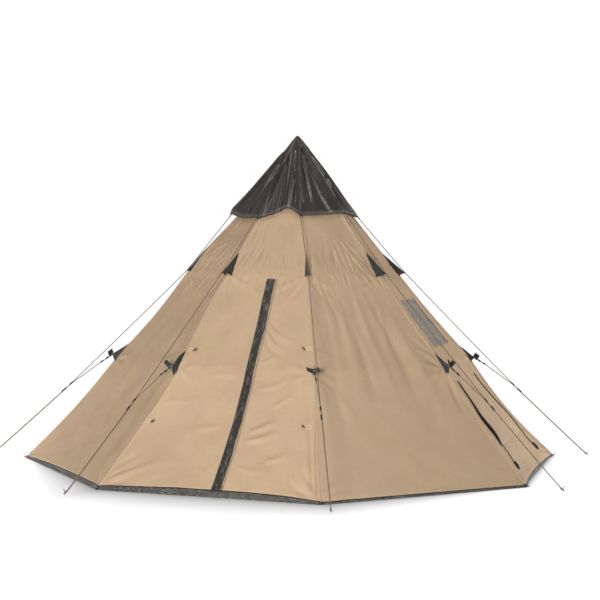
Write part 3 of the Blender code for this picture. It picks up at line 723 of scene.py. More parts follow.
# How bright the white surroundings look in mirrored rays
MIRRORED_SHARE = 0.3

# Pitches of the threads, stitches and strands
CLOTH_PITCH = 1 / 700
SHEETING_PITCH = 1 / 330
STITCH_PITCH = 0.0045
NET_PITCH = 0.0042
BRAID_PITCH = 0.004


class Nodes:
    """Short calls for the nodes of a material or a world."""

    def __init__(self, tree):
        self.tree = tree

    def node(self, kind, links=None, values=None, **settings):
        """A node with its settings, its sockets' values, and what is linked into its sockets."""
        node = self.tree.nodes.new("ShaderNode" + kind)
        for setting, value in settings.items():
            setattr(node, setting, value)
        for socket, value in (values or {}).items():
            node.inputs[socket].default_value = value
        for socket, source in (links or {}).items():
            self.tree.links.new(source, node.inputs[socket])
        return node

    def place(self, uv=False, scale=(1, 1, 1)):
        """The coordinates that patterns read: the object's own, or its UV map in metres."""
        if uv:
            source = self.node("UVMap", uv_map="cloth").outputs["UV"]
        else:
            source = self.node("TexCoord").outputs["Object"]
        return self.node("Mapping", {"Vector": source}, {"Scale": scale}).outputs["Vector"]

    def noise(self, where, scale, detail=3.0, roughness=0.5):
        values = {"Scale": scale, "Detail": detail, "Roughness": roughness}
        return self.node("TexNoise", {"Vector": where}, values).outputs["Fac"]

    def spread(self, value, low, high, to_low=0.0, to_high=1.0):
        """Stretches a value between two limits."""
        values = {"From Min": low, "From Max": high, "To Min": to_low, "To Max": to_high}
        return self.node("MapRange", {"Value": value}, values).outputs["Result"]

    def mix(self, share, first, second):
        """A mix of two colours, each a colour or another node's output."""
        links = {"Factor": share}
        values = {}
        for socket, colour in ((6, first), (7, second)):
            if isinstance(colour, tuple):
                values[socket] = linear(*colour)
            else:
                links[socket] = colour
        return self.node("Mix", links, values, data_type="RGBA").outputs[2]

    def maths(self, operation, first, second=0.0):
        links = {}
        values = {}
        for socket, value in enumerate((first, second)):
            kept = values if isinstance(value, (int, float)) else links
            kept[socket] = value
        return self.node("Math", links, values, operation=operation).outputs[0]

    def bands(self, where, pitch, direction="X"):
        """Soft stripes at a pitch in metres."""
        values = {"Scale": 2 * math.pi / pitch / WAVE_TURN}
        settings = {"wave_type": "BANDS", "bands_direction": direction, "wave_profile": "SIN"}
        return self.node("TexWave", {"Vector": where}, values, **settings).outputs["Fac"]

    def light_share(self):
        """1 for rays from the camera or through a gap, part of it for mirrored rays, else 0."""
        path = self.node("LightPath").outputs
        mirrored = self.maths("MULTIPLY", path["Is Glossy Ray"], MIRRORED_SHARE)
        seen = self.maths("MAXIMUM", path["Is Camera Ray"], path["Is Transmission Ray"])
        return self.maths("MAXIMUM", mirrored, seen)


class Finish(Nodes):
    """A material, with calls for what patterns it."""

    def __init__(self, name, slot, colour, roughness, **sockets):
        self.slot = slot
        self.material = bpy.data.materials.new(name)
        self.material.use_nodes = True
        super().__init__(self.material.node_tree)
        self.shader = self.tree.nodes["Principled BSDF"]
        self.shader.inputs["Base Color"].default_value = linear(*colour)
        self.shader.inputs["Roughness"].default_value = roughness
        for socket, value in sockets.items():
            self.shader.inputs[socket.replace("_", " ")].default_value = value

    def colour(self, source):
        self.tree.links.new(source, self.shader.inputs["Base Color"])

    def rough(self, source):
        self.tree.links.new(source, self.shader.inputs["Roughness"])

    def bump(self, height, distance, strength=1.0, under=None):
        """Adds a relief of this depth in metres, on top of another relief."""
        links = {"Height": height}
        if under is not None:
            links["Normal"] = under
        normal = self.node("Bump", links, {"Distance": distance, "Strength": strength}).outputs[0]
        self.tree.links.new(normal, self.shader.inputs["Normal"])
        return normal

    def weave(self, where, pitch, distance, under):
        """Plain weave."""
        threads = self.maths("MULTIPLY", self.bands(where, pitch), self.bands(where, pitch, "Y"))
        self.bump(threads, distance, 0.6, under)


def crinkle(finish, where, coarse, fine):
    """Soft dents and fine wrinkles of a coated cloth that was folded away."""
    dents = finish.noise(where, 5.0, 4.0, 0.55)
    relief = finish.bump(dents, coarse)
    values = {"Scale": 9.0, "Randomness": 1.0}
    cells = finish.node("TexVoronoi", {"Vector": where}, values, feature="DISTANCE_TO_EDGE")
    creases = finish.spread(cells.outputs["Distance"], 0.0, 0.12)
    return finish.bump(creases, fine, 0.2, relief)


def tan_cloth():
    """Coated woven cloth, whose colour drifts between a light, a dark and a third tint."""
    light, dark, blush = (211, 183, 149), (197, 168, 135), (208, 177, 149)
    finish = Finish("tan_cloth", "tan_polyester", light, 0.62, Specular_IOR_Level=0.12)
    where = finish.place(uv=True)
    broad = finish.noise(where, 1.3, 2.0)
    patch = finish.noise(where, 4.5, 4.0, 0.6)
    grain = finish.noise(where, 140.0, 2.0, 0.7)
    colour = finish.mix(finish.spread(broad, 0.38, 0.66), light, blush)
    colour = finish.mix(finish.spread(patch, 0.35, 0.75, 0.0, 0.55), colour, dark)
    colour = finish.mix(finish.spread(grain, 0.3, 0.7, 0.0, 0.16), colour, dark)
    finish.colour(colour)
    finish.rough(finish.spread(patch, 0.3, 0.7, 0.54, 0.70))
    relief = crinkle(finish, where, 0.010, 0.0025)
    finish.weave(where, CLOTH_PITCH, 0.0003, relief)
    return finish


def stitched(name, slot, base, thread, roughness, offset, ribs=0.0016):
    """Tape or webbing with two rows of stitches, set in from its edges by the share offset."""
    finish = Finish(name, slot, base, roughness, Sheen_Weight=0.08)
    where = finish.place(uv=True)
    parts = finish.node("SeparateXYZ", {"Vector": where})
    across = parts.outputs["X"]
    row = finish.maths("ABSOLUTE", finish.maths("SUBTRACT", finish.maths("ABSOLUTE", across), offset))
    near = finish.maths("LESS_THAN", row, 0.0007)
    dash = finish.maths("GREATER_THAN", finish.bands(where, STITCH_PITCH, "Y"), 0.35)
    stitch = finish.maths("MULTIPLY", near, dash)
    wear = finish.noise(where, 60.0, 4.0, 0.6)
    worn = tuple(min(255, value + 16) for value in base)
    colour = finish.mix(finish.spread(wear, 0.35, 0.75), base, worn)
    finish.colour(finish.mix(stitch, colour, thread))
    finish.rough(finish.spread(wear, 0.3, 0.7, roughness - 0.06, roughness + 0.06))
    relief = finish.bump(stitch, 0.0006)
    finish.bump(finish.bands(where, ribs, "Y"), 0.0003, 0.7, relief)
    return finish


def sheeting():
    """Woven plastic sheeting of the tub floor: grey, with pale specks and a grid of flat tapes."""
    finish = Finish("tub_sheeting", "grey_floor_sheet", (98, 95, 90), 0.42, Specular_IOR_Level=0.45)
    where = finish.place(uv=True)
    long = finish.place(uv=True, scale=(0.3, 1.0, 1.0))
    specks = finish.spread(finish.noise(long, 85.0, 3.0, 0.7), 0.52, 0.70)
    clouds = finish.noise(where, 6.0, 4.0, 0.6)
    colour = finish.mix(finish.spread(clouds, 0.3, 0.7), (66, 63, 59), (98, 95, 90))
    finish.colour(finish.mix(finish.maths("MULTIPLY", specks, 0.8), colour, (168, 165, 158)))
    finish.rough(finish.spread(clouds, 0.3, 0.7, 0.34, 0.55))
    relief = crinkle(finish, where, 0.012, 0.003)
    finish.weave(where, SHEETING_PITCH, 0.0004, relief)
    return finish


def cap_cloth(name, base, light, roughness):
    """Charcoal cloth with a smooth coating, that shines along its folds."""
    finish = Finish(name, "charcoal_polyester", base, roughness, Coat_Weight=0.5, Coat_Roughness=0.24)
    where = finish.place(uv=True)
    clouds = finish.noise(where, 7.0, 4.0, 0.6)
    grain = finish.noise(where, 170.0, 2.0, 0.7)
    colour = finish.mix(finish.spread(clouds, 0.35, 0.75), base, light)
    finish.colour(finish.mix(finish.spread(grain, 0.35, 0.75, 0.0, 0.35), colour, light))
    finish.rough(finish.spread(clouds, 0.3, 0.7, roughness - 0.08, roughness + 0.1))
    relief = crinkle(finish, where, 0.004, 0.0006)
    finish.weave(where, CLOTH_PITCH, 0.0003, relief)
    return finish


def flap_cloth():
    """Charcoal flap cloth with soft pale patches of painted highlight, where it is also glossier."""
    finish = Finish("storm_flap_cloth", "charcoal_polyester", (60, 57, 53), 0.5, Coat_Weight=0.15)
    where = finish.place(uv=True, scale=(1.0, 0.35, 1.0))
    patches = finish.spread(finish.noise(where, 26.0, 3.0, 0.6), 0.50, 0.72)
    streaks = finish.spread(finish.noise(where, 60.0, 4.0, 0.6), 0.45, 0.75, 0.0, 0.5)
    # The pale patches mixed into the colour are painted highlights
    colour = finish.mix(patches, (46, 43, 39), (124, 120, 114))
    finish.colour(finish.mix(streaks, colour, (36, 33, 30)))
    finish.rough(finish.spread(patches, 0.0, 1.0, 0.55, 0.36))
    flat = finish.place(uv=True)
    relief = crinkle(finish, flat, 0.010, 0.003)
    finish.weave(flat, CLOTH_PITCH, 0.0003, relief)
    return finish


def netting():
    """Fine insect net: threads with open gaps between them."""
    finish = Finish("insect_net", "grey_netting", (168, 155, 142), 0.8, Sheen_Weight=0.2)
    where = finish.place(uv=True)
    strands = finish.maths("MAXIMUM", finish.bands(where, NET_PITCH), finish.bands(where, NET_PITCH, "Y"))
    threads = finish.maths("GREATER_THAN", strands, 0.62)
    specks = finish.noise(where, 60.0, 3.0, 0.7)
    finish.colour(finish.mix(finish.spread(specks, 0.35, 0.65), (142, 131, 120), (206, 193, 178)))
    finish.tree.links.new(threads, finish.shader.inputs["Alpha"])
    return finish


def braid(name, base, light, slot="grey_cord"):
    """Braided cord, with its strands slanting round it."""
    finish = Finish(name, slot, base, 0.75, Sheen_Weight=0.15)
    one = finish.bands(finish.place(), BRAID_PITCH, "DIAGONAL")
    other = finish.bands(finish.place(scale=(-1, 1, 1)), BRAID_PITCH, "DIAGONAL")
    strands = finish.maths("MAXIMUM", one, other)
    finish.colour(finish.mix(finish.spread(strands, 0.3, 0.9), base, light))
    finish.bump(strands, 0.0004)
    return finish


def plastic(name, colour, slot="black_plastic"):
    """Moulded plastic, scuffed a little."""
    finish = Finish(name, slot, colour, 0.42)
    where = finish.place()
    scuffs = finish.noise(where, 220.0, 4.0, 0.65)
    worn = tuple(value + 22 for value in colour)
    finish.colour(finish.mix(finish.spread(scuffs, 0.5, 0.75, 0.0, 0.7), colour, worn))
    finish.rough(finish.spread(scuffs, 0.3, 0.7, 0.34, 0.55))
    finish.bump(finish.noise(where, 900.0, 2.0), 0.0001)
    return finish


def steel(name, colour, roughness, stretch=(1, 1, 1)):
    """Steel with a drawn grain and faint zinc clouds."""
    finish = Finish(name, "steel", colour, roughness, Metallic=1.0)
    clouds = finish.noise(finish.place(), 35.0, 4.0, 0.6)
    grain = finish.noise(finish.place(scale=stretch), 300.0, 3.0, 0.6)
    dull = tuple(value - 38 for value in colour)
    finish.colour(finish.mix(finish.spread(clouds, 0.35, 0.7), colour, dull))
    finish.rough(finish.spread(clouds, 0.3, 0.7, roughness - 0.08, roughness + 0.12))
    finish.bump(grain, 0.0001)
    return finish


TAN = tan_cloth()
TAN_SEAM = stitched("tan_seam", "tan_polyester", (207, 176, 141), (168, 139, 108), 0.66, 0.0045)
TAN_TAPE = stitched("tan_tape", "tan_polyester", (201, 170, 136), (176, 148, 116), 0.68, 0.0045)
CAP = cap_cloth("cap_cloth", (35, 29, 21), (50, 42, 31), 0.34)
CAP_BAND = cap_cloth("cap_band_cloth", (56, 50, 41), (112, 103, 90), 0.38)
FLAP = flap_cloth()
BINDING = stitched("dark_binding", "black_webbing", (46, 40, 35), (24, 21, 19), 0.7, 0.004)
# Darker tan for a band by the front right corner: painted shade of the crease there
PAINTED_CREASE_SHADE = stitched("painted_crease_shade", "tan_polyester", (190, 158, 125), (160, 131, 102), 0.7, 0.004)
GREY_BINDING = stitched("grey_binding", "black_webbing", (82, 76, 68), (52, 48, 43), 0.7, 0.004)
# Tan darker than the walls for the zip tapes: partly their own colour, partly painted shade beside the storm
# flap's free edge
ZIP_TAPE_AND_SHADE = stitched("zip_tape", "tan_polyester", (188, 159, 127), (140, 113, 86), 0.7, 0.004)
WEBBING = stitched("black_webbing", "black_webbing", (32, 31, 29), (18, 17, 16), 0.62, 0.005)
GUSSET = stitched("black_gusset", "black_webbing", (31, 29, 26), (18, 17, 15), 0.6, 0.030, ribs=0.0012)
SHEETING = sheeting()
NETTING = netting()
LINE = braid("guy_cord", (96, 80, 60), (132, 114, 90))
DARK_CORD = braid("dark_cord", (26, 24, 22), (48, 45, 42))
PALE_CORD = braid("pale_wrap_cord", (96, 96, 94), (140, 140, 138))
PLASTIC = plastic("black_plastic", (28, 27, 26))
LOOP_TAN = braid("tan_loop_cord", (222, 198, 166), (238, 218, 190), "tan_polyester")
BROWN = plastic("brown_toggle_plastic", (106, 82, 60))
STEEL = steel("zinc_steel", (168, 168, 164), 0.36, (1, 1, 0.03))
PEG_STEEL = steel("peg_steel", (186, 184, 180), 0.42)
ZIP = plastic("zip_coil", (140, 115, 90), "zip_coil")


# Camera


def make_camera():
    pitch = math.radians(CAMERA_PITCH)
    roll = math.radians(CAMERA_ROLL)
    forward = turned(CAMERA_AZIMUTH + 180, math.cos(pitch), math.sin(pitch))
    level = turned(CAMERA_AZIMUTH + 90, 1, 0)
    upright = level.cross(forward)
    right = level * math.cos(roll) + upright * math.sin(roll)
    up = upright * math.cos(roll) - level * math.sin(roll)
    data = bpy.data.cameras.new("camera")
    data.lens = CAMERA_LENS
    data.sensor_width = 36
    camera = bpy.data.objects.new("camera", data)
    axes = Matrix((right, up, -forward)).transposed().to_4x4()
    camera.matrix_world = Matrix.Translation(CAMERA_PLACE) @ axes
    bpy.context.scene.collection.objects.link(camera)
    bpy.context.scene.camera = camera


# Guy lines


def taut(points, steps, sag):
    """Points along taut runs between the given ones, each sagging a little."""
    path = []
    for start, end in zip(points, points[1:]):
        for step in range(steps):
            share = step / steps
            point = start.lerp(end, share)
            point.z -= sag * math.sin(math.pi * share) * (end - start).length
            path.append(point)
    return [*path, points[-1]]


def line_points(corner):
    """The main line's corners: cap, upper fin, junction and peg."""
    cap = cap_corner(corner)
    fin = at_corner(corner, *UPPER_TIP)
    start = cap - (fin - cap).normalized() * 0.006
    return [start, fin, at_corner(corner, *JUNCTION), at_corner(corner, *LINE_END)]


def tip_shift(corner):
    return corner_shift(corner, *MIDDLE_FINS.get(corner, USUAL_MIDDLE_FIN)[4])


def middle_tip(corner):
    """Where the line draws a middle fin's tip to."""
    return at_corner(corner, *MIDDLE_TIP) + tip_shift(corner)


def tail_end(corner):
    return at_corner(corner, *TAIL_END) + tip_shift(corner) / 2


def strand_points(corner):
    """The strand that comes back from the peg beside the main line, up to the fork."""
    start, end = line_points(corner)[2:]
    run = (end - start).normalized()
    sideways = Vector(corner_sideways(corner))
    aside = (sideways + sideways.cross(run)).normalized() * STRAND_GAP
    path = taut([start, end], 40, 0.003)
    spread = [min(1, 2 * step, 2 * (40 - step)) for step in range(41)]
    return [point + aside * share for point, share in zip(path, spread)]


def line_knot(name, centre, axis, turns, finish):
    return knot_piece(name, centre, axis, 0.0066, 0.0062, turns, CORD_RADIUS, finish)


def make_guy_lines():
    for corner, name in enumerate(CORNERS):
        points = line_points(corner)
        run = (points[3] - points[2]).normalized()
        fork = (points[2] - tail_end(corner)).normalized()
        main = cord_piece(f"guy_line_main_{name}", taut(points, 12, 0.003), LINE_LOOK, LINE)
        strand = cord_piece(f"guy_line_strand_{name}", strand_points(corner), LINE_LOOK, LINE)
        branch_points = [tail_end(corner), points[2] - fork * 0.003]
        branch_path = taut(branch_points, 16, 0.004)
        branch = cord_piece(f"guy_line_branch_{name}", branch_path, LINE_LOOK, LINE)
        wrap = line_knot(f"fork_knot_{name}", points[2] - run * 0.036, run, 7, DARK_CORD)
        tail_wrap = line_knot(f"tail_knot_{name}", branch_points[0] - fork * 0.006, fork, 4, DARK_CORD)
        eye_points = coil(at_corner(corner, *PEG_EYE), UP, 0.009, 0.0, 1, 24)[:-1]
        eye = cord_piece(f"peg_eye_{name}", eye_points, CORD_RADIUS, LINE, cyclic=True)
        eye_knot = line_knot(f"peg_eye_knot_{name}", points[3] - run * 0.026, run, 4, LINE)
        ride_tent(main, strand, branch, wrap, tail_wrap, eye, eye_knot)
        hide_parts(f"guy_line_{name}")


# Walls


def gore_grid(gore, columns):
    """A gore's flat grid from hem to peak, with one row of vertices on the seam."""
    rows = GORE_ROWS_BELOW + GORE_ROWS_ABOVE
    bm, across, along = unit_grid(columns, rows)
    share = 2 * across - 1
    row = np.round(along * rows)
    low = hem(gore, share)
    up = np.where(
        row <= GORE_ROWS_BELOW,
        low + (LOWER_LENGTH - low) * row / GORE_ROWS_BELOW,
        LOWER_LENGTH + UPPER_LENGTH * (row - GORE_ROWS_BELOW) / GORE_ROWS_ABOVE,
    )
    flat = paired(share * half_width(up), up)
    return bm, flat


def trapezoid_corners(outline, margin=0.0):
    """A trapezoid's corners from its lower left one round, moved out by a margin."""
    foot, head, half_foot, half_head = outline
    lean = (half_foot - half_head) / (head - foot)
    aside = margin * (math.hypot(1, lean) + lean)
    inside = margin * (math.hypot(1, lean) - lean)
    return [
        (-half_foot - aside, foot - margin),
        (half_foot + aside, foot - margin),
        (half_head + inside, head + margin),
        (-half_head - inside, head + margin),
    ]


def cut_opening(bm, outline):
    """Cuts a trapezoid out of a gore that still lies flat, as X across and Y up."""
    corners = [Vector((*corner, 0)) for corner in trapezoid_corners(outline)]
    middle = sum(corners, Vector()) / 4
    reach = (corners[1] - middle).length + 0.05
    for start, end in zip(corners, corners[1:] + corners[:1]):
        side = (end - start).normalized()
        near = [f for f in bm.faces if (f.calc_center_median() - middle).length < reach]
        parts = {part for face in near for part in (*face.verts, *face.edges, face)}
        bmesh.ops.bisect_plane(bm, geom=list(parts), dist=0.00002, plane_co=start, plane_no=side.cross(UP))
    hole = []
    for face in bm.faces:
        centre = face.calc_center_median()
        sides = zip(corners, corners[1:] + corners[:1])
        if all((end - start).cross(centre - start).z > 0 for start, end in sides):
            hole.append(face)
    bmesh.ops.delete(bm, geom=hole, context="FACES")


# The gores after the front one, to the right round the tent
GORE_WORDS = ("front_right", "right", "back_right", "back", "back_left", "left", "front_left")
OPEN_GORES = {2: "right", 6: "left"}


def make_gores():
    for gore, word in enumerate(GORE_WORDS, 1):
        bm, flat = gore_grid(gore, FINE_COLUMNS if gore in OWN_FOLDS else PLAIN_COLUMNS)
        move_vertices(bm, np.concatenate([flat, np.zeros((len(flat), 1))], 1))
        if gore in OPEN_GORES:
            cut_opening(bm, WINDOW)
            cut_opening(bm, VENT)
        flat = np.array([vert.co[:2] for vert in bm.verts])
        lay_out(bm, *lifted(gore, flat, 0.0))
        thicken(bm, CLOTH)
        cloth = new_piece(f"gore_{word}", bm, TAN)
        stand_in(cloth, f"wall_{word}")


# Door


ZIP_DRIFT = 0.009

# Width of the band over which the vent flap would bend where it folds. The flap is not bent: only the band's
# lower edge is worked out, and it is not used.
VENT_FLAP_BEND = 0.070


def zip_drift(up):
    """How far the zip's line is drawn aside between its two ends."""
    share = np.clip((up - DOOR_SILL) / (DOOR_TOP - DOOR_SILL), 0, 1)
    return ZIP_DRIFT * np.sin(math.pi * share**0.75)


def leaf_place(side, across, along):
    """The left or right half of the front gore's lower cloth, up to the door's top."""
    low = hem(0, across - 1 if side < 0 else across)
    up = between(low, DOOR_TOP, along)
    edge = side * half_width(up)
    middle = ZIP_LINE + zip_drift(up) + side * 0.0004
    start, end = (edge, middle) if side < 0 else (middle, edge)
    return lifted(0, paired(between(start, end, across), up), 0.0)


def crease_shade_place(across, along):
    """A darker band along the right leaf's edge by the corner, widest at the hem: painted shade of the crease
    there.
    """
    low = float(hem(0, 0.96))
    up = low + 0.002 + (1.02 - low) * along
    inward = 0.003 + (0.047 - 0.042 * along) * (1 - across)
    return lifted(0, paired(half_width(up) - inward, up), 0.0036 - 0.0024 * (1 - across))


def front_upper_place(across, along):
    """The front gore above the door, with its lower vertices on the leaves' top ones."""
    zip_share = LEFT_COLUMNS / FINE_COLUMNS
    row = np.round(along * (GORE_ROWS_ABOVE + BAND_ROWS)) - BAND_ROWS
    band = LOWER_LENGTH + (LOWER_LENGTH - DOOR_TOP) * row / BAND_ROWS
    up = np.where(row <= 0, band, LOWER_LENGTH + UPPER_LENGTH * row / GORE_ROWS_ABOVE)
    half = half_width(up)
    middle = ZIP_LINE * half / float(half_width(DOOR_TOP))
    left = -half + (middle + half) * across / zip_share
    right = middle + (half - middle) * (across - zip_share) / (1 - zip_share)
    return lifted(0, paired(np.where(across <= zip_share, left, right), up), 0.0)


def hinge_blend(piece, hinge):
    """Bakes a piece's place into its mesh. The ends of the slanted fold line are worked out but not used, and
    the cloth is not bent.
    """
    foot, head = (Vector(wall_point(0, *end)) for end in hinge)
    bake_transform(piece)


def make_door():
    rows = GORE_ROWS_BELOW - BAND_ROWS
    left = laid("door_leaf_cloth_left", LEFT_COLUMNS, rows, partial(leaf_place, -1), CLOTH, TAN)
    right_columns = FINE_COLUMNS - LEFT_COLUMNS
    right = laid("door_leaf_cloth_right", right_columns, rows, partial(leaf_place, 1), CLOTH, TAN)
    rows = GORE_ROWS_ABOVE + BAND_ROWS
    upper = laid("gore_front_upper", FINE_COLUMNS, rows, front_upper_place, CLOTH, TAN)
    # The darker band by the corner is painted crease shade
    crease_shade = laid("door_crease_shade", 4, 120, crease_shade_place, SHEET, PAINTED_CREASE_SHADE)
    hinge_blend(left, LEFT_HINGE)
    for piece in (right, crease_shade):
        hinge_blend(piece, RIGHT_HINGE)
    stand_in(upper, "door_wall")
    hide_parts("door_leaf_left")
    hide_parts("door_leaf_right")


def flap_place(low, high, rise, across, along):
    """A strip of the storm flap between two shares of its width, lifted more toward its free edge."""
    share = between(low, high, across)
    up = DOOR_SILL + 0.0015 + (DOOR_TOP - DOOR_SILL - 0.003) * along
    flat_across = FLAP_LEFT + FLAP_WIDTH * share
    side = flat_across + zip_drift(up) - zip_drift(DOOR_SILL)
    wave = np.sin(7.3 * up) + 0.6 * np.sin(17.0 * up + 1.1) + 0.4 * np.sin(41.0 * up)
    side = side + 0.0022 * share * wave
    edge = 0.0055 + 0.0016 * (np.sin(11.0 * up + 0.7) + np.sin(23.0 * up))
    crown = 0.003 * np.sin(math.pi * share) + 0.0012 * np.sin(29.0 * up + 5 * share)
    lift = 0.0022 + rise + edge * share**2 + crown
    return wall_point(0, side, up, lift), paired(flat_across - FLAP_LEFT, up)


def flap_strip(word, columns, rows, limits, thickness, finish):
    piece = laid(f"storm_flap_{word}", columns, rows, partial(flap_place, *limits), thickness, finish)
    start = Vector(wall_point(0, FLAP_LEFT + 0.020, 1.2))
    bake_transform(piece)
    return piece


def make_storm_flap():
    flap = flap_strip("cloth", 10, 260, (0, 1, 0.0), 0.0013, FLAP)
    flap_strip("lining", 6, 160, (0.01, 0.97, -0.0015), LINING, BINDING)
    flap_strip("binding", 3, 260, (0.90, 1.012, 0.0013), TAPE, BINDING)
    flap_strip("seam", 3, 260, (-0.012, 0.07, 0.0009), THIN_TAPE, BINDING)
    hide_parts("storm_flap")


def make_zip():
    """The zip under the storm flap: two tapes, a coil between them and its slider."""
    for side, body in ((-1, "door_left"), (1, "door_right")):

        def place(across, along, side=side):
            up = DOOR_SILL + 0.004 + (DOOR_TOP - DOOR_SILL - 0.008) * along
            share = across if side > 0 else 1 - across
            flat_across = side * (0.0004 + 0.012 * share)
            aside = ZIP_LINE + zip_drift(up) + flat_across
            return wall_point(0, aside, up, 0.0014), paired(flat_across, up)

        # The tapes' darker tan is partly painted shade beside the flap
        tape = laid(f"zip_tape_{'left' if side < 0 else 'right'}", 2, 200, place, SHEET, ZIP_TAPE_AND_SHADE)
        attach(tape, body)
    turns = 560
    steps = np.arange(turns * 6 + 1) / 6
    up = DOOR_SILL + 0.006 + (DOOR_TOP - DOOR_SILL - 0.012) * steps / turns
    angle = 2 * math.pi * steps
    middle = ZIP_LINE + zip_drift(up)
    points = wall_point(0, middle + 0.0026 * np.cos(angle), up, 0.0022 + 0.0008 * np.sin(angle))
    coil_piece = cord_piece("zip_coil_chain", points.tolist(), 0.0007, ZIP, resolution=0)
    stand_in(coil_piece, "door_zip", "door_left")
    make_slider()


def make_slider():
    low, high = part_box("zip_slider")
    centre = (low + high) / 2
    bm = bmesh.new()
    bmesh.ops.create_cube(bm, size=1.0)
    bmesh.ops.scale(bm, vec=(0.010, 0.016, 0.004), verts=bm.verts)
    for vert in bm.verts:
        if vert.co.y < 0:
            vert.co.x *= 0.6
    bmesh.ops.bevel(bm, geom=bm.edges[:], offset=0.001, segments=2, affect="EDGES", profile=0.5, material=-1)
    pull = bmesh.ops.create_cube(bm, size=1.0)["verts"]
    bmesh.ops.scale(bm, vec=(0.005, 0.024, 0.0014), verts=pull)
    bmesh.ops.translate(bm, vec=(0, -0.012, 0.0034), verts=pull)
    tilt = Matrix.Rotation(math.radians(90 - WALL_LEAN), 4, "X")
    bmesh.ops.transform(bm, matrix=Matrix.Translation(centre) @ tilt, verts=bm.verts)
    slider = new_piece("zip_slider_body", bm, STEEL, 35)
    stand_in(slider, "zip_slider", "zip_slider")


# Tub floor and its rim


# Where the slope of the walls meets the ground, and how far up it the rim reaches behind the hem
GROUND = -HEM_HEIGHT / (SEAM_HEIGHT - HEM_HEIGHT) * LOWER_LENGTH
RIM_TOP = 0.062

# How far the dark binding shows below the hem. On the two sides listed, where more dark shows under the hem,
# it is widened into painted shade.
RIM_TAPE_AND_SHADE_WIDTHS = {1: 0.030, 2: 0.014}


def rim_place(gore, across, along):
    share = 2 * across - 1
    foot = GROUND * 0.98
    up = between(foot, RIM_TOP, along)
    bulge = 0.006 * np.sin(math.pi * along**0.6) + 0.0016 * np.sin(31 * across + 9 * along + gore)
    lift = (bulge - 0.010 * np.clip(4 * along, 0, 1)) * (1 - np.abs(share) ** 12)
    flat_across = share * half_width(up)
    return wall_point(gore, flat_across, up, lift), paired(flat_across + GORE_WIDTH * gore, up)


def rim_tape_and_shade_place(gore, across, along):
    share = 2 * across - 1
    low = hem(gore, share)
    width = RIM_TAPE_AND_SHADE_WIDTHS.get(gore, 0.011)
    up = low - width + (width + 0.005) * along
    flat_across = share * half_width(up)
    lift = -0.0022 * (1 - np.abs(share) ** 12)
    return wall_point(gore, flat_across, up, lift), paired(up - low, flat_across + GORE_WIDTH * gore)


def floor_place(across, along):
    """The floor sheet, as rings from its middle out to an octagon."""
    side = (across * SIDES) % 1
    gore = np.floor(across * SIDES).astype(int) + 1
    draw = np.array([HEM_DRAWS.get(number % SIDES, 0.0) for number in range(SIDES + 2)])[gore]
    out = (HEM_RADIUS + 0.028) * octagon(side) * along - draw * (1 - (2 * side - 1) ** 2) * along**8
    points = around(2 * math.pi * across + HALF_GORE, out, np.zeros_like(out))
    x, y = points[:, 0], points[:, 1]
    points[:, 2] = 0.0022 + 0.0018 * np.sin(5.1 * x + 2.0 * y) * np.sin(4.3 * y - 1.0) * (1 - along**4)
    return points, paired(x, y)


def make_floor():
    patches = [(60, 8, partial(rim_place, gore)) for gore in range(SIDES)]
    rim = joined("tub_rim", SHEETING, patches, SHEET)
    stand_in(rim, "floor_rim")
    patches = [(60, 2, partial(rim_tape_and_shade_place, gore)) for gore in range(SIDES)]
    # The dark rim binding, widened on two sides into painted shade under the hem
    ride_tent(joined("tub_rim_tape_and_shade", BINDING, patches, THIN_TAPE))
    floor = joined("tub_floor", SHEETING, [(SIDES * 12, 40, floor_place)], SHEET)
    stand_in(floor, "floor_sheet")


# Seams and bindings


def corner_seam_place(corner, across, along):
    """A folded seam along a corner's edge, from the hem to the peak."""
    offset = 2 * across - 1
    up = 0.002 + (FULL_LENGTH - 0.004) * along
    inset = np.abs(offset) * 0.009
    half = half_width(up)
    left = wall_point(corner, half - inset, up, 0.0012)
    right = wall_point(corner + 1, inset - half, up, 0.0012)
    points = np.where((offset < 0)[:, None], left, right)
    rise = 0.0038 * (1 - np.abs(offset) ** 1.5)
    return points + rise[:, None] * corner_normal(corner), paired(offset * 0.009, up)


def seam_tape_place(gore, across, along):
    share = (2 * across - 1) * 0.985
    up = LOWER_LENGTH - 0.006 + 0.012 * along
    flat_across = share * half_width(up)
    return wall_point(gore, flat_across, up, 0.0014), paired(up - LOWER_LENGTH, flat_across)


def make_seams():
    for corner, name in enumerate(CORNERS):
        place = partial(corner_seam_place, corner)
        ride_tent(laid(f"corner_seam_{name}", 6, 260, place, TAPE, TAN_SEAM))
    patches = [(60, 2, partial(seam_tape_place, gore)) for gore in range(SIDES)]
    ride_tent(joined("level_seam", TAN_TAPE, patches, THIN_TAPE))


def inside_corners(corners, across, along):
    """Flat places in a patch of four corners, that start at its lower left and go round it."""
    corners = np.array(corners)
    low = between(corners[0], corners[1], across[:, None])
    high = between(corners[3], corners[2], across[:, None])
    return between(low, high, along[:, None])


def band_patches(gore, outline, inner, outer, lift, sides=(0, 1, 2, 3)):
    """Strips round a trapezoid on a wall, between two margins, with mitred corners."""
    inside = trapezoid_corners(outline, inner)
    outside = trapezoid_corners(outline, outer)
    patches = []
    for number in sides:
        after = (number + 1) % 4
        corners = (outside[number], outside[after], inside[after], inside[number])

        def place(across, along, corners=corners):
            flat = paired((along - 0.5) * (outer - inner), across * math.dist(*corners[:2]))
            return lifted(gore, inside_corners(corners, across, along), lift)[0], flat

        patches.append((40, 2, place))
    return patches


def trapezoid_place(gore, outline, margin, lift):
    corners = trapezoid_corners(outline, margin)
    return lambda across, along: lifted(gore, inside_corners(corners, across, along), lift)


# Windows and vents


# How far the nets and the vent flaps reach past the openings
NET_MARGIN = 0.012
FLAP_MARGIN = 0.018


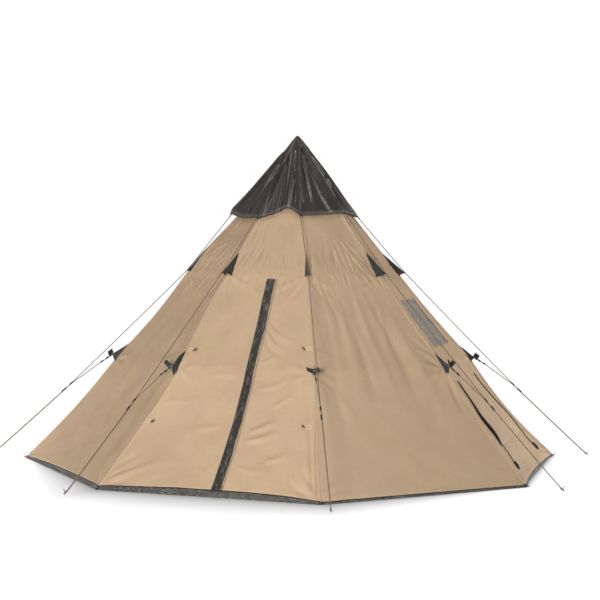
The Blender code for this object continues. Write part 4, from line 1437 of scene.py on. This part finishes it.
def flap_lift(across, up):
    """How far a vent flap stands off the wall: most along its sides, between its head and its foot."""
    foot, head, half_foot, half_head = VENT
    along = np.clip((up - foot + FLAP_MARGIN) / (head - foot + 2 * FLAP_MARGIN), 0, 1)
    half = half_foot + (half_head - half_foot) * along + 0.02
    share = np.clip(np.abs(across) / half, 0, 1)
    gape = 0.018 * share**3 * np.sin(math.pi * along**0.5) ** 2
    billow = 0.012 * np.cos(math.pi / 2 * share) * np.sin(math.pi * along)
    folds = 0.003 * np.sin(16 * across + 5 * up) * np.sin(math.pi * along)
    return 0.0035 + gape + billow + folds * (1 - share**2)


def rolled_hem_place(gore, hand, across, along):
    """A round hem along a vent flap's left or right edge."""
    foot, head, half_foot, half_head = VENT
    up = foot - FLAP_MARGIN + (head - foot + 2 * FLAP_MARGIN) * along
    edge = hand * (half_foot + (half_head - half_foot) * (up - foot) / (head - foot) + FLAP_MARGIN)
    turn = 2 * math.pi * across
    radius = 0.0062 * np.clip(60 * np.minimum(along, 1 - along), 0, 1)
    lift = flap_lift(edge, up) + 0.0045 + radius * np.cos(turn)
    aside = edge + radius * np.sin(turn)
    return wall_point(gore, aside, up, lift), paired(aside, up)


def make_side(gore, side):
    """The window, vent, vent flap and its ties of the right or left wall."""
    for word, outline in (("window", WINDOW), ("vent", VENT)):
        place = trapezoid_place(gore, outline, NET_MARGIN, -0.0030)
        net = laid(f"{word}_netting_{side}", 30, 30, place, NET, NETTING)
        stand_in(net, f"{word}_net_{side}")
        finish = TAN_TAPE if word == "window" else GREY_BINDING
        patches = band_patches(gore, outline, -0.001, 0.013, 0.0016)
        tape = joined(f"{word}_tape_{side}", finish, patches, TAPE)
        patches = band_patches(gore, outline, -0.0035, 0.0, 0.0010)
        ride_tent(tape, joined(f"{word}_edge_{side}", BINDING, patches, TAPE))
    place = trapezoid_place(gore, VENT, FLAP_MARGIN, flap_lift)
    flap = laid(f"vent_flap_cloth_{side}", 60, 44, place, CLOTH, TAN)
    place = trapezoid_place(gore, VENT, FLAP_MARGIN - 0.002, lambda a, u: flap_lift(a, u) - 0.0018)
    lining = laid(f"vent_flap_lining_{side}", 60, 44, place, LINING, BINDING)
    margins = (FLAP_MARGIN - 0.013, FLAP_MARGIN + 0.0015)
    patches = band_patches(gore, VENT, *margins, lambda a, u: flap_lift(a, u) + 0.0014, (1, 3))
    edge = joined(f"vent_flap_binding_{side}", GREY_BINDING, patches, 0.0014)
    patches = [(10, 80, partial(rolled_hem_place, gore, hand)) for hand in (-1, 1)]
    hems = joined(f"vent_flap_hems_{side}", GREY_BINDING, patches, 0)
    head_up = VENT[1] + FLAP_MARGIN
    start = Vector(wall_point(gore, 0.0, head_up))
    end = Vector(wall_point(gore, 0.0, head_up - VENT_FLAP_BEND))
    for piece in (flap, lining, edge, hems):
        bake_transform(piece)
    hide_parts(f"vent_flap_{side}")
    for hand in (-1, 1):
        make_vent_tie(gore, side, hand)


TIE_RADIUS = 0.0045


def make_vent_tie(gore, side, hand):
    """A thick tie cord that hangs from a vent flap's lower corner, with a cord lock on it."""
    word = "near" if hand < 0 else "far"
    route = ((0.722, 0.410), (0.728, 0.372), (0.708, 0.300), (0.722, 0.240), (0.735, 0.185), (0.741, 0.113))
    lifts = (0.018, 0.014, 0.009, 0.0065, 0.0065, 0.0065)
    spots = [wall_point(gore, hand * across, up, lift) for (across, up), lift in zip(route, lifts)]
    path = smooth_path(spots, 6)
    tie = cord_piece(f"vent_tie_{side}_{word}", path, TIE_RADIUS, DARK_CORD)
    down = (path[-1] - path[-4]).normalized()
    knot_at = path[-1] - down * 0.014
    knot_name = f"vent_tie_knot_{side}_{word}"
    knot = knot_piece(knot_name, knot_at, down, 0.0078, 0.0088, 2.5, TIE_RADIUS, DARK_CORD)
    lock_at = path[26]
    way = (path[28] - path[24]).normalized()
    profile = [(0.0048, -0.032), (0.0170, -0.032), (0.0215, -0.022), (0.0180, -0.008), (0.0180, 0.008)]
    profile += [(0.0220, 0.018), (0.0180, 0.033), (0.0048, 0.033), (0.0048, -0.032)]
    lock = spun(f"vent_tie_lock_{side}_{word}", profile, lock_at, way, PLASTIC)
    for piece in (tie, knot, lock):
        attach(piece, f"vent_{side}")


# Fins, straps and pegs at the corners


# How far the fins' feet lie off the walls, how far their sides swell, and how far their ridges stand out
FIN_LIFT = 0.0022
FIN_SWELLING = 0.010
FIN_RIDGE = 0.0015

# Middle fins that hang looser: their left foot's own lift and their swelling
LOOSE_FINS = {7: (0.004, 0.036)}


def fin_place(corner, head_up, foot_up, tip, spreads, notch, lift=FIN_LIFT, swelling=FIN_SWELLING):
    """A flared fin: cloth from both walls that meets in a ridge, drawn out to a tip by its line."""
    tip = np.array(tip)
    apex = corner_point(corner, head_up, FIN_RIDGE)
    edge_foot = corner_point(corner, foot_up, FIN_RIDGE)
    half = float(half_width(foot_up))
    left_foot = wall_point(corner, half - spreads[0], foot_up, lift)
    right_foot = wall_point(corner + 1, spreads[1] - half, foot_up, FIN_LIFT)

    def place(across, along):
        turn = 2 * across - 1
        reach = 1 - np.abs(turn)
        foot = np.where((turn < 0)[:, None], left_foot, right_foot)
        low = between(foot, tip, reach[:, None])
        rise = notch * np.sin(math.pi * reach) ** 1.2
        low = between(low, apex, rise[:, None])
        point = between(low, apex, along[:, None])
        swell = swelling * np.sin(math.pi * along) * np.sin(math.pi * reach)
        point = point + swell[:, None] * corner_normal(corner)
        edge = corner_point(corner, between(foot_up, head_up, along), FIN_RIDGE)
        straight = between(edge_foot, apex, along[:, None])
        point = point + np.abs(turn)[:, None] * (edge - straight)
        return point, paired(turn * 0.05, along * 0.18)

    return place


def twisted_sides(path, first, turns):
    """Directions across a strap that twists along its path."""
    sides = []
    for number in range(len(path)):
        ahead = path[min(number + 1, len(path) - 1)] - path[max(number - 1, 0)]
        angle = 2 * math.pi * turns * number / (len(path) - 1)
        sides.append(Matrix.Rotation(angle, 3, ahead.normalized()) @ Vector(first))
    return sides


# Upper fins: height of the head, and how far each foot stands from the corner
UPPER_FINS = {
    0: (2.235, 0.030, 0.034),
    1: (2.255, 0.058, 0.034),
    2: (2.245, 0.040, 0.040),
    6: (2.285, 0.040, 0.045),
    7: (2.230, 0.034, 0.064),
}
USUAL_UPPER_FIN = (2.235, 0.040, 0.040)

# The crosswise strap on each middle fin: how far its left and right ends stand aside and up
KEEPER_ENDS = {
    0: (0.075, 0.034, 0.043, 0.036),
    1: (0.070, 0.072, 0.024, 0.062),
    2: (0.034, 0.046, 0.030, 0.040),
    6: (0.034, 0.048, 0.034, 0.042),
    7: (0.056, 0.062, 0.0, 0.0),
}
KEEPER_USUAL = (0.060, 0.036, 0.040, 0.036)
KEEPER_WIDTHS = {2: 0.054, 6: 0.054}
KEEPER_WIDTH_USUAL = 0.036


def make_upper_fin(corner, name, sideways):
    tip = at_corner(corner, *UPPER_TIP)
    head, *spreads = UPPER_FINS.get(corner, USUAL_UPPER_FIN)
    cloth_tip = at_corner(corner, UPPER_TIP[0] - 0.003, UPPER_TIP[1] + 0.003)
    place = fin_place(corner, up_at(head), up_at(1.985), cloth_tip, spreads, 0.02)
    fin = laid(f"upper_fin_{name}", 24, 12, place, GUSSET_CLOTH, GUSSET, closed=True)
    inward = -at_corner(corner, 1, 0)
    route = ((0.030, 0.016), (0, 0.009), (-0.006, 0), (0, -0.010), (0.030, -0.006))
    loop_path = smooth_path(offset_points(tip, (inward, UP), route), 5)
    loop = strap(f"upper_loop_{name}", loop_path, [sideways] * len(loop_path), 0.014, 0.0018, WEBBING)
    foot = Vector(corner_point(corner, up_at(1.995), 0.004))
    route = ((0, 0.020), (-0.010, -0.012), (-0.013, -0.034), (-0.003, -0.030), (0, 0.004))
    hanging = smooth_path(offset_points(foot, (inward, UP), route), 6)
    tie = cord_piece(f"upper_tie_{name}", hanging, 0.0022, DARK_CORD)
    ride_tent(fin, loop, tie)
    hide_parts(f"corner_strap_{name}")


def make_middle_fin(corner, name, sideways):
    tip = middle_tip(corner)
    end = tail_end(corner)
    head, foot, *spreads, _ = MIDDLE_FINS.get(corner, USUAL_MIDDLE_FIN)
    place = fin_place(corner, up_at(head), up_at(foot), tip, spreads, 0.0, *LOOSE_FINS.get(corner, ()))
    fin = laid(f"middle_fin_{name}", 24, 12, place, GUSSET_CLOTH, GUSSET, closed=True)
    run = (end - tip).normalized()
    upright = run.cross(sideways).normalized()
    left, left_rise, right, right_rise = KEEPER_ENDS.get(corner, KEEPER_USUAL)
    route = [(-left, left_rise, -0.004), (-left * 0.5, left_rise * 0.45, 0), (0, 0.004, 0)]
    if right:
        route += [(right * 0.5, right_rise * 0.42, 0), (right, right_rise, 0.003)]
    keeper_path = smooth_path(offset_points(tip, (sideways, upright, run), route), 4)
    keeper_sides = twisted_sides(keeper_path, run, 0.10)
    width = KEEPER_WIDTHS.get(corner, KEEPER_WIDTH_USUAL)
    keeper = strap(f"middle_keeper_{name}", keeper_path, keeper_sides, width, 0.0150, WEBBING)
    wrap_at = tip - run * 0.010
    wrap = knot_piece(f"middle_wrap_{name}", wrap_at, run, 0.0085, 0.0056, 4.5, 0.0030, PALE_CORD)
    stretch = (end - tip).length
    tail_path = [tip + run * stretch * step / 24 for step in range(25)]
    tail_sides = twisted_sides(tail_path, upright, 1.0)
    tail = strap(f"middle_tail_{name}", tail_path, tail_sides, 0.0190, 0.0060, WEBBING, taper=0.45, rows=96)
    ride_tent(fin, keeper, wrap, tail)


def make_hem_tab(corner, name, sideways):
    """The webbing tab at the foot of a corner, and the peg through it."""
    out = at_corner(corner, 1, 0)
    hem_at = out * HEM_RADIUS + sideways * float(corner_lean(corner, HEM_HEIGHT))
    route = ((-0.012, 0.040), (0.016, 0.024), (0.052, 0.014), (0.020, 0.018))
    path = smooth_path(offset_points(hem_at, (out, UP), route), 5)
    tab = strap(f"hem_tab_{name}", path, [sideways] * len(path), 0.024, 0.0030, WEBBING)
    shank = (out * 0.35 + UP).normalized()
    route = ((0, 0), (0, 0.015), (0, 0.030), (0.004, 0.037), (0.012, 0.038), (0.017, 0.032))
    hook = offset_points(hem_at + out * 0.030 + UP * 0.004, (out, shank), route)
    peg = cord_piece(f"hem_peg_{name}", smooth_path(hook, 5), 0.0030, PEG_STEEL)
    ride_tent(tab, peg)


def make_cap_tab(corner, name, sideways):
    """The webbing loop at a corner of the cap, where the guy line is tied."""
    corner_at = cap_corner(corner)
    down = (at_corner(corner, *UPPER_TIP) - corner_at).normalized()
    upright = down.cross(sideways).normalized()
    if upright.z < 0:
        upright = -upright
    route = ((-0.022, 0.005), (-0.010, 0.005), (0.010, 0.003), (0.012, -0.003), (-0.012, -0.004))
    path = smooth_path(offset_points(corner_at, (down, upright), route), 5)
    tab = strap(f"cap_tab_{name}", path, [sideways] * len(path), 0.022, 0.0020, WEBBING)
    knot_at = corner_at + down * 0.012
    knot = knot_piece(f"cap_knot_{name}", knot_at, down, 0.0048, 0.0050, 3, CORD_RADIUS, LINE)
    ride_tent(tab, knot)


def make_runner(corner, name):
    """The sliding plastic runner that tightens a guy line, with its grip rings."""
    low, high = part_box(f"tensioner_{name}")
    points = line_points(corner)
    run = (points[3] - points[2]).normalized()
    radii = [0.0034, 0.0100, 0.0112, 0.0106, 0.0084, 0.0080]
    heights = [-0.025, -0.025, -0.022, -0.018, -0.015, -0.010]
    profile = list(zip(radii, heights))
    for ring in range(3):
        centre = -0.007 + 0.007 * ring
        profile += [(0.0086, centre - 0.0016), (0.0094, centre), (0.0086, centre + 0.0016)]
    profile += [(radius, -height) for radius, height in reversed(profile[1:6])]
    profile += [(0.0034, 0.025), (0.0034, -0.025)]
    runner = spun(f"line_runner_{name}", profile, (low + high) / 2, run, PLASTIC)
    stand_in(runner, f"tensioner_{name}", f"tensioner_{name}")


def make_corners():
    for corner, name in enumerate(CORNERS):
        sideways = Vector(corner_sideways(corner))
        make_upper_fin(corner, name, sideways)
        make_middle_fin(corner, name, sideways)
        make_hem_tab(corner, name, sideways)
        make_cap_tab(corner, name, sideways)
        make_runner(corner, name)


# Door toggles


# Where the toggles sit across and up the front, and the side to which their loops point
TOGGLES = {
    "left_high": (-0.612, 1.580, -1),
    "left_low": (-0.846, 0.761, -1),
    "right_high": (0.606, 1.640, 1),
    "right_low": (0.797, 0.766, 1),
}


def make_toggles():
    """Tie-backs for the rolled door leaves: a soft loop and a capsule on a short cord."""
    for word, (across, up, side) in TOGGLES.items():
        route = ((0.048, 0.006), (0.020, 0.017), (-0.014, 0.004), (0.014, -0.016), (0.044, -0.008))
        lifts = (0.003, 0.014, 0.018, 0.014, 0.003)
        steps = zip(route, lifts)
        spots = [wall_point(0, across + side * step, up + rise, lift) for (step, rise), lift in steps]
        loop = cord_piece(f"toggle_loop_{word}", smooth_path(spots, 6), 0.0055, LOOP_TAN)
        centre = Vector(wall_point(0, across - side * 0.030, up - 0.001, 0.014))
        axis = Vector((math.cos(0.5), 0, -side * math.sin(0.5)))
        profile = [(0, -0.024), (0.0070, -0.022), (0.0108, -0.015), (0.0118, 0.0)]
        profile += [(radius, -height) for radius, height in reversed(profile[:3])]
        capsule = spun(f"toggle_{word}", profile, centre, axis, BROWN)
        ride_tent(loop, capsule)


# Rain cap


CAP_TOP = PEAK_HEIGHT + CAP_LIFT
CAP_DROP = CAP_TOP - CAP_CORNER[1]
CAP_SLOPE = math.hypot(CAP_CORNER[0], CAP_DROP)

# How far each side of the cap's hem rises between its corners, and how far that peak is skewed
CAP_ARCHES = {0: (0.092, 1.6), 1: (0.006, 1.0), 2: (0.020, 1.0), 6: (0.030, 1.0), 7: (-0.018, 1.0)}
CAP_ARCH_USUAL = (0.035, 1.1)

# Azimuths of the cap where its cloth stands out, or lies in, and by how much
CAP_BULGES = {-67.5: 0.039, 112.5: 0.010}

# Folds of the cap that the front shows: azimuth at the head and at the foot, shares, width and height
CAP_FOLDS = (
    (-60, -22, 0.22, 1.03, 0.044, -0.022),
    (-50, -40, 0.30, 1.00, 0.026, 0.011),
    (-68, -63, 0.20, 0.90, 0.028, 0.010),
    (-20, -19, 0.28, 0.97, 0.018, 0.014),
    (-22, -1, 0.20, 0.94, 0.016, -0.016),
    (2, 7, 0.16, 0.92, 0.024, 0.008),
    (12, 15, 0.40, 0.80, 0.010, 0.011),
    (17, 27, 0.09, 0.82, 0.013, 0.014),
    (33, 34, 0.08, 0.80, 0.022, -0.010),
    (44, 51, 0.14, 0.70, 0.014, 0.011),
    (50, 57, 0.66, 1.00, 0.022, 0.009),
    (84, 66, 0.45, 1.02, 0.016, -0.011),
    (88, 80, 0.15, 0.95, 0.024, 0.008),
)


def cap_folds():
    draw = np.random.default_rng(7)
    folds = list(CAP_FOLDS)
    for side in range(2, 7):
        for number in range(4):
            azimuth = GORE_STEP * (side - 0.5 + (number + draw.uniform(0.2, 0.8)) / 4)
            head = azimuth + draw.uniform(-8, 8)
            shares = (draw.uniform(0.08, 0.25), draw.uniform(0.8, 1.0))
            width = draw.uniform(0.016, 0.034)
            folds.append((head, azimuth, *shares, width, in_turn(number) * draw.uniform(0.006, 0.011)))
    return folds


ALL_CAP_FOLDS = cap_folds()
CAP_FOLD_DEPTH = 2.7
CAP_PULL_TABLE = np.array([cap_pull(corner) for corner in range(SIDES)])

# How far a push square to the cap's cloth moves it outward and up, and how deep its hollows may be
CAP_NORMAL = (0.787, 0.617)
CAP_DEEPEST = 0.034


def seen_from_above(azimuth, out):
    """Flat places at a distance from the pole, with the front at the top."""
    angle = np.radians(azimuth)
    return paired(out * np.sin(angle), out * np.cos(angle))


def cap_point(azimuth, share, lift):
    """Points of the cap at an azimuth in degrees, share of the way from its top to its corners."""
    turn = (azimuth + GORE_STEP / 2) / GORE_STEP
    along = turn % 1
    inward = np.sin(math.pi * along)
    belly = np.sin(math.pi * np.clip(share, 0, 1))
    rise = lift - 0.012 * inward * belly - 0.010 * inward * share**2
    rise = rise - 0.010 * belly * np.cos(np.radians(azimuth + 70)).clip(0)
    for middle, bulge in CAP_BULGES.items():
        off = (azimuth - middle + 180) % 360 - 180
        rise = rise + bulge * bell(off, 26) * (1 - bell(share, 0.5)) * np.clip((1.06 - share) / 0.12, 0, 1)
    out = CAP_CORNER[0] * share * octagon(along)
    angle = np.radians(azimuth)
    spot = seen_from_above(azimuth, out)
    for head, foot, start, end, width, height in ALL_CAP_FOLDS:
        first = seen_from_above(head, CAP_CORNER[0] * start)
        last = seen_from_above(foot, CAP_CORNER[0] * end)
        length = math.dist(first, last)
        run = (last - first) / length
        off = spot - first
        way = np.clip((off @ run) / length, 0, 1)
        aside = (off[..., 0] * run[1] - off[..., 1] * run[0]) / (width * (0.5 + 0.7 * way))
        swell = np.sin(math.pi * way**0.7) ** 0.8 + 0.35 * way * (way < 1)
        rise = rise + CAP_FOLD_DEPTH * height * swell * ridge(aside, 0.3, 2.2)
    rise = np.where(rise < 0, CAP_DEEPEST * np.tanh(rise / CAP_DEEPEST), rise)
    top = (1 - np.clip(share, 0, 1)) ** 2
    out = out + CAP_NORMAL[0] * rise * np.clip(share / 0.05, 0, 1)
    out = out + 0.013 * top * np.clip(share / 0.02, 0, 1) ** 0.5
    points = around(angle, out, CAP_TOP + 0.010 * top - CAP_DROP * share + CAP_NORMAL[1] * rise)
    points[..., 0] -= 0.007 * top
    side = np.floor(turn).astype(int)
    for offset, weight in ((-1, 1 - along), (0, along)):
        pull = CAP_PULL_TABLE[(side + offset) % SIDES]
        points = points + (weight * share**2)[..., None] * pull
    return points


def cap_hem(azimuth):
    """The share at which the cap's hem lies."""
    turn = (azimuth + GORE_STEP / 2) / GORE_STEP
    side = np.floor(turn).astype(int) % SIDES
    along = turn % 1
    arch = np.zeros_like(azimuth)
    for number in range(SIDES):
        height, skew = CAP_ARCHES.get(number, CAP_ARCH_USUAL)
        arch = np.where(side == number, height * np.sin(math.pi * along**skew) ** 1.25, arch)
    return 1 - arch / CAP_DROP


def cap_place(first, last, lift, from_hem, across, along):
    """A ring of the cap between two shares, or between two lengths up from its hem."""
    azimuth = 360 * across
    hem_at = cap_hem(azimuth)
    share = between(first, last, along)
    share = hem_at - share / CAP_SLOPE if from_hem else hem_at * share
    flat = paired(np.radians(azimuth) * 0.6, share * CAP_SLOPE)
    return cap_point(azimuth, share, lift), flat


def cap_ring(word, rows, limits, thickness, finish):
    return laid(f"rain_cap_{word}", 336, rows, partial(cap_place, *limits), thickness, finish, closed=True)


def make_cap():
    cap = cap_ring("cloth", 76, (1.0, 0.0, 0.0, False), CLOTH, CAP)
    band = cap_ring("hem", 4, (-0.002, 0.046, 0.0016, True), 0.0014, CAP_BAND)
    top = cap_ring("piping", 2, (0.045, 0.052, 0.0026, True), 0.0026, BINDING)
    edge = cap_ring("edge", 2, (-0.004, 0.004, 0.0026, True), 0.0026, BINDING)
    ride_tent(cap, band, top, edge)
    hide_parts("rain_cap")
    for corner in range(SIDES):
        azimuth = corner_azimuth(corner)

        def place(across, along, azimuth=azimuth):
            share = 0.05 + 0.93 * along
            offset = (2 * across - 1) * 0.006
            spot = azimuth + np.degrees(offset / (CAP_CORNER[0] * share))
            rise = 0.0018 + 0.0022 * (1 - np.abs(2 * across - 1))
            return cap_point(spot, share, rise), paired(offset, share * CAP_SLOPE)

        seam = laid(f"cap_seam_{CORNERS[corner]}", 4, 60, place, TAPE, CAP_BAND)
        fix_outward(seam)
        ride_tent(seam)


def fix_outward(piece):
    """Turns a mesh's faces outward, where its grid ran the other way round."""
    bm = bmesh.new()
    bm.from_mesh(piece.data)
    bmesh.ops.recalc_face_normals(bm, faces=bm.faces)
    bm.to_mesh(piece.data)
    bm.free()


POCKET_RADIUS = 0.115
POCKET_LIFT = 0.0085


def pocket_place(across, along):
    """The reinforced pocket under the cap, where the pole pushes."""
    angle = 2 * math.pi * across
    along = 1 - along
    out = POCKET_RADIUS * octagon((across * SIDES) % 1) * along
    rumple = 0.0012 * np.sin(24 * angle) * along**2
    height = crown_height(POCKET_RADIUS * along) + POCKET_LIFT + rumple
    return around(angle - HALF_GORE, out, height), paired(angle * 0.06, along * 0.15)


def make_pocket():
    pocket = laid("peak_pocket_cloth", 96, 14, pocket_place, 0.0035, WEBBING, closed=True)
    stand_in(pocket, "peak_pocket")


# Hard parts that stay as they are in the frame


def paint(node, finish):
    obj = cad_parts[node]
    obj.data.materials.clear()
    obj.data.materials.append(finish.material)


def paint_hard_parts():
    for node in ("pole_lower", "pole_middle", "pole_upper"):
        paint(node, STEEL)
    for node in ("pole_foot", "pole_top"):
        paint(node, PLASTIC)
    for name in CORNERS:
        paint(f"guy_peg_{name}", PEG_STEEL)


# Floor, background and light


# How strongly the white surroundings light the tent
WORLD_LIGHT = 0.06

# The floor's glow at the hem, and over how many metres it grows to full strength in front and at the sides.
# The weaker glow near the hem is a painted contact shadow.
GLOW_NEAR = 0.16
GLOW_REACH = 0.85
GLOW_REACH_SIDE = 0.08
GLOW_EASE = 0.55


def make_world():
    world = bpy.data.worlds.new("studio")
    world.use_nodes = True
    nodes = Nodes(world.node_tree)
    background = nodes.tree.nodes["Background"].inputs
    background["Color"].default_value = (1, 1, 1, 1)
    strength = nodes.spread(nodes.light_share(), 0.0, 1.0, WORLD_LIGHT, 1.0)
    nodes.tree.links.new(strength, background["Strength"])
    bpy.context.scene.world = world


def make_ground():
    """A pale floor that glows for the camera, less so close to the hem: a painted contact shadow."""
    bm = bmesh.new()
    bmesh.ops.create_circle(bm, cap_ends=True, segments=96, radius=60)
    mesh = bpy.data.meshes.new("ground")
    bm.to_mesh(mesh)
    bm.free()
    ground = bpy.data.objects.new("ground", mesh)
    ground.location.z = -0.0006
    bpy.context.scene.collection.objects.link(ground)
    floor = Finish("pale_ground", "", (230, 230, 230), 0.9)
    # The camera sees the floor's lit colour darker than other rays do, so the painted contact shadow sets its
    # look
    seen = floor.node("LightPath").outputs["Is Camera Ray"]
    floor.colour(floor.mix(seen, (230, 230, 230), (105, 105, 105)))
    floor.shader.inputs["Specular IOR Level"].default_value = 0.0
    floor.shader.inputs["Emission Color"].default_value = (1, 1, 1, 1)
    parts = floor.node("SeparateXYZ", {"Vector": floor.place()})
    x = floor.maths("ABSOLUTE", parts.outputs["X"])
    y = floor.maths("ABSOLUTE", parts.outputs["Y"])
    slanted = floor.maths("MULTIPLY", floor.maths("ADD", x, y), math.sqrt(0.5))
    reach = floor.maths("MAXIMUM", floor.maths("MAXIMUM", x, y), slanted)
    beyond = floor.maths("MAXIMUM", floor.maths("SUBTRACT", reach, HEM_RADIUS * FLAT), 0.0)
    front = floor.maths("DIVIDE", y, floor.maths("ADD", x, y))
    fade = floor.spread(front, 0.36, 0.85, GLOW_REACH_SIDE, GLOW_REACH)
    away = floor.maths("MINIMUM", floor.maths("DIVIDE", beyond, fade), 1.0)
    eased = floor.maths("POWER", away, GLOW_EASE)
    glow = floor.spread(eased, 0.0, 1.0, GLOW_NEAR, 1.0)
    seen = floor.maths("MULTIPLY", glow, floor.light_share())
    floor.tree.links.new(seen, floor.shader.inputs["Emission Strength"])
    mesh.materials.append(floor.material)


# Lamps: azimuth, distance from the pole, height, size in metres and power in watts
LAMPS = {
    "front_key": (2, 12.0, 2.6, 3.0, 875),
    "front_top": (6, 2.6, 5.6, 1.2, 23),
    "right_front": (50, 7.5, 4.2, 2.5, 30),
    "overhead_gloss": (30, 1.6, 11.0, 1.6, 130),
    "left_low": (-76, 5.0, 0.3, 1.4, 60),
    "right_back": (120, 11.0, 2.0, 4.0, 700),
    "left_back": (-130, 9.0, 1.4, 4.0, 60),
}


def make_lamps():
    for name, (azimuth, distance, height, size, power) in LAMPS.items():
        data = bpy.data.lights.new(name, "AREA")
        data.shape = "DISK"
        data.size = size
        data.energy = power
        lamp = bpy.data.objects.new(name, data)
        lamp.location = turned(azimuth, distance, height)
        lamp.rotation_euler = (Vector((0, 0, 1.2)) - lamp.location).to_track_quat("-Z", "Y").to_euler()
        lamp.visible_camera = False
        lamp.visible_diffuse = name != "overhead_gloss"
        lamp.visible_glossy = name != "left_back"
        bpy.context.scene.collection.objects.link(lamp)


make_camera()
make_guy_lines()
make_gores()
make_door()
make_storm_flap()
make_zip()
make_floor()
make_seams()
for gore, side in OPEN_GORES.items():
    make_side(gore, side)
make_corners()
make_toggles()
make_cap()
make_pocket()
paint_hard_parts()
make_world()
make_ground()
make_lamps()
bpy.context.scene.view_settings.view_transform = "Standard"
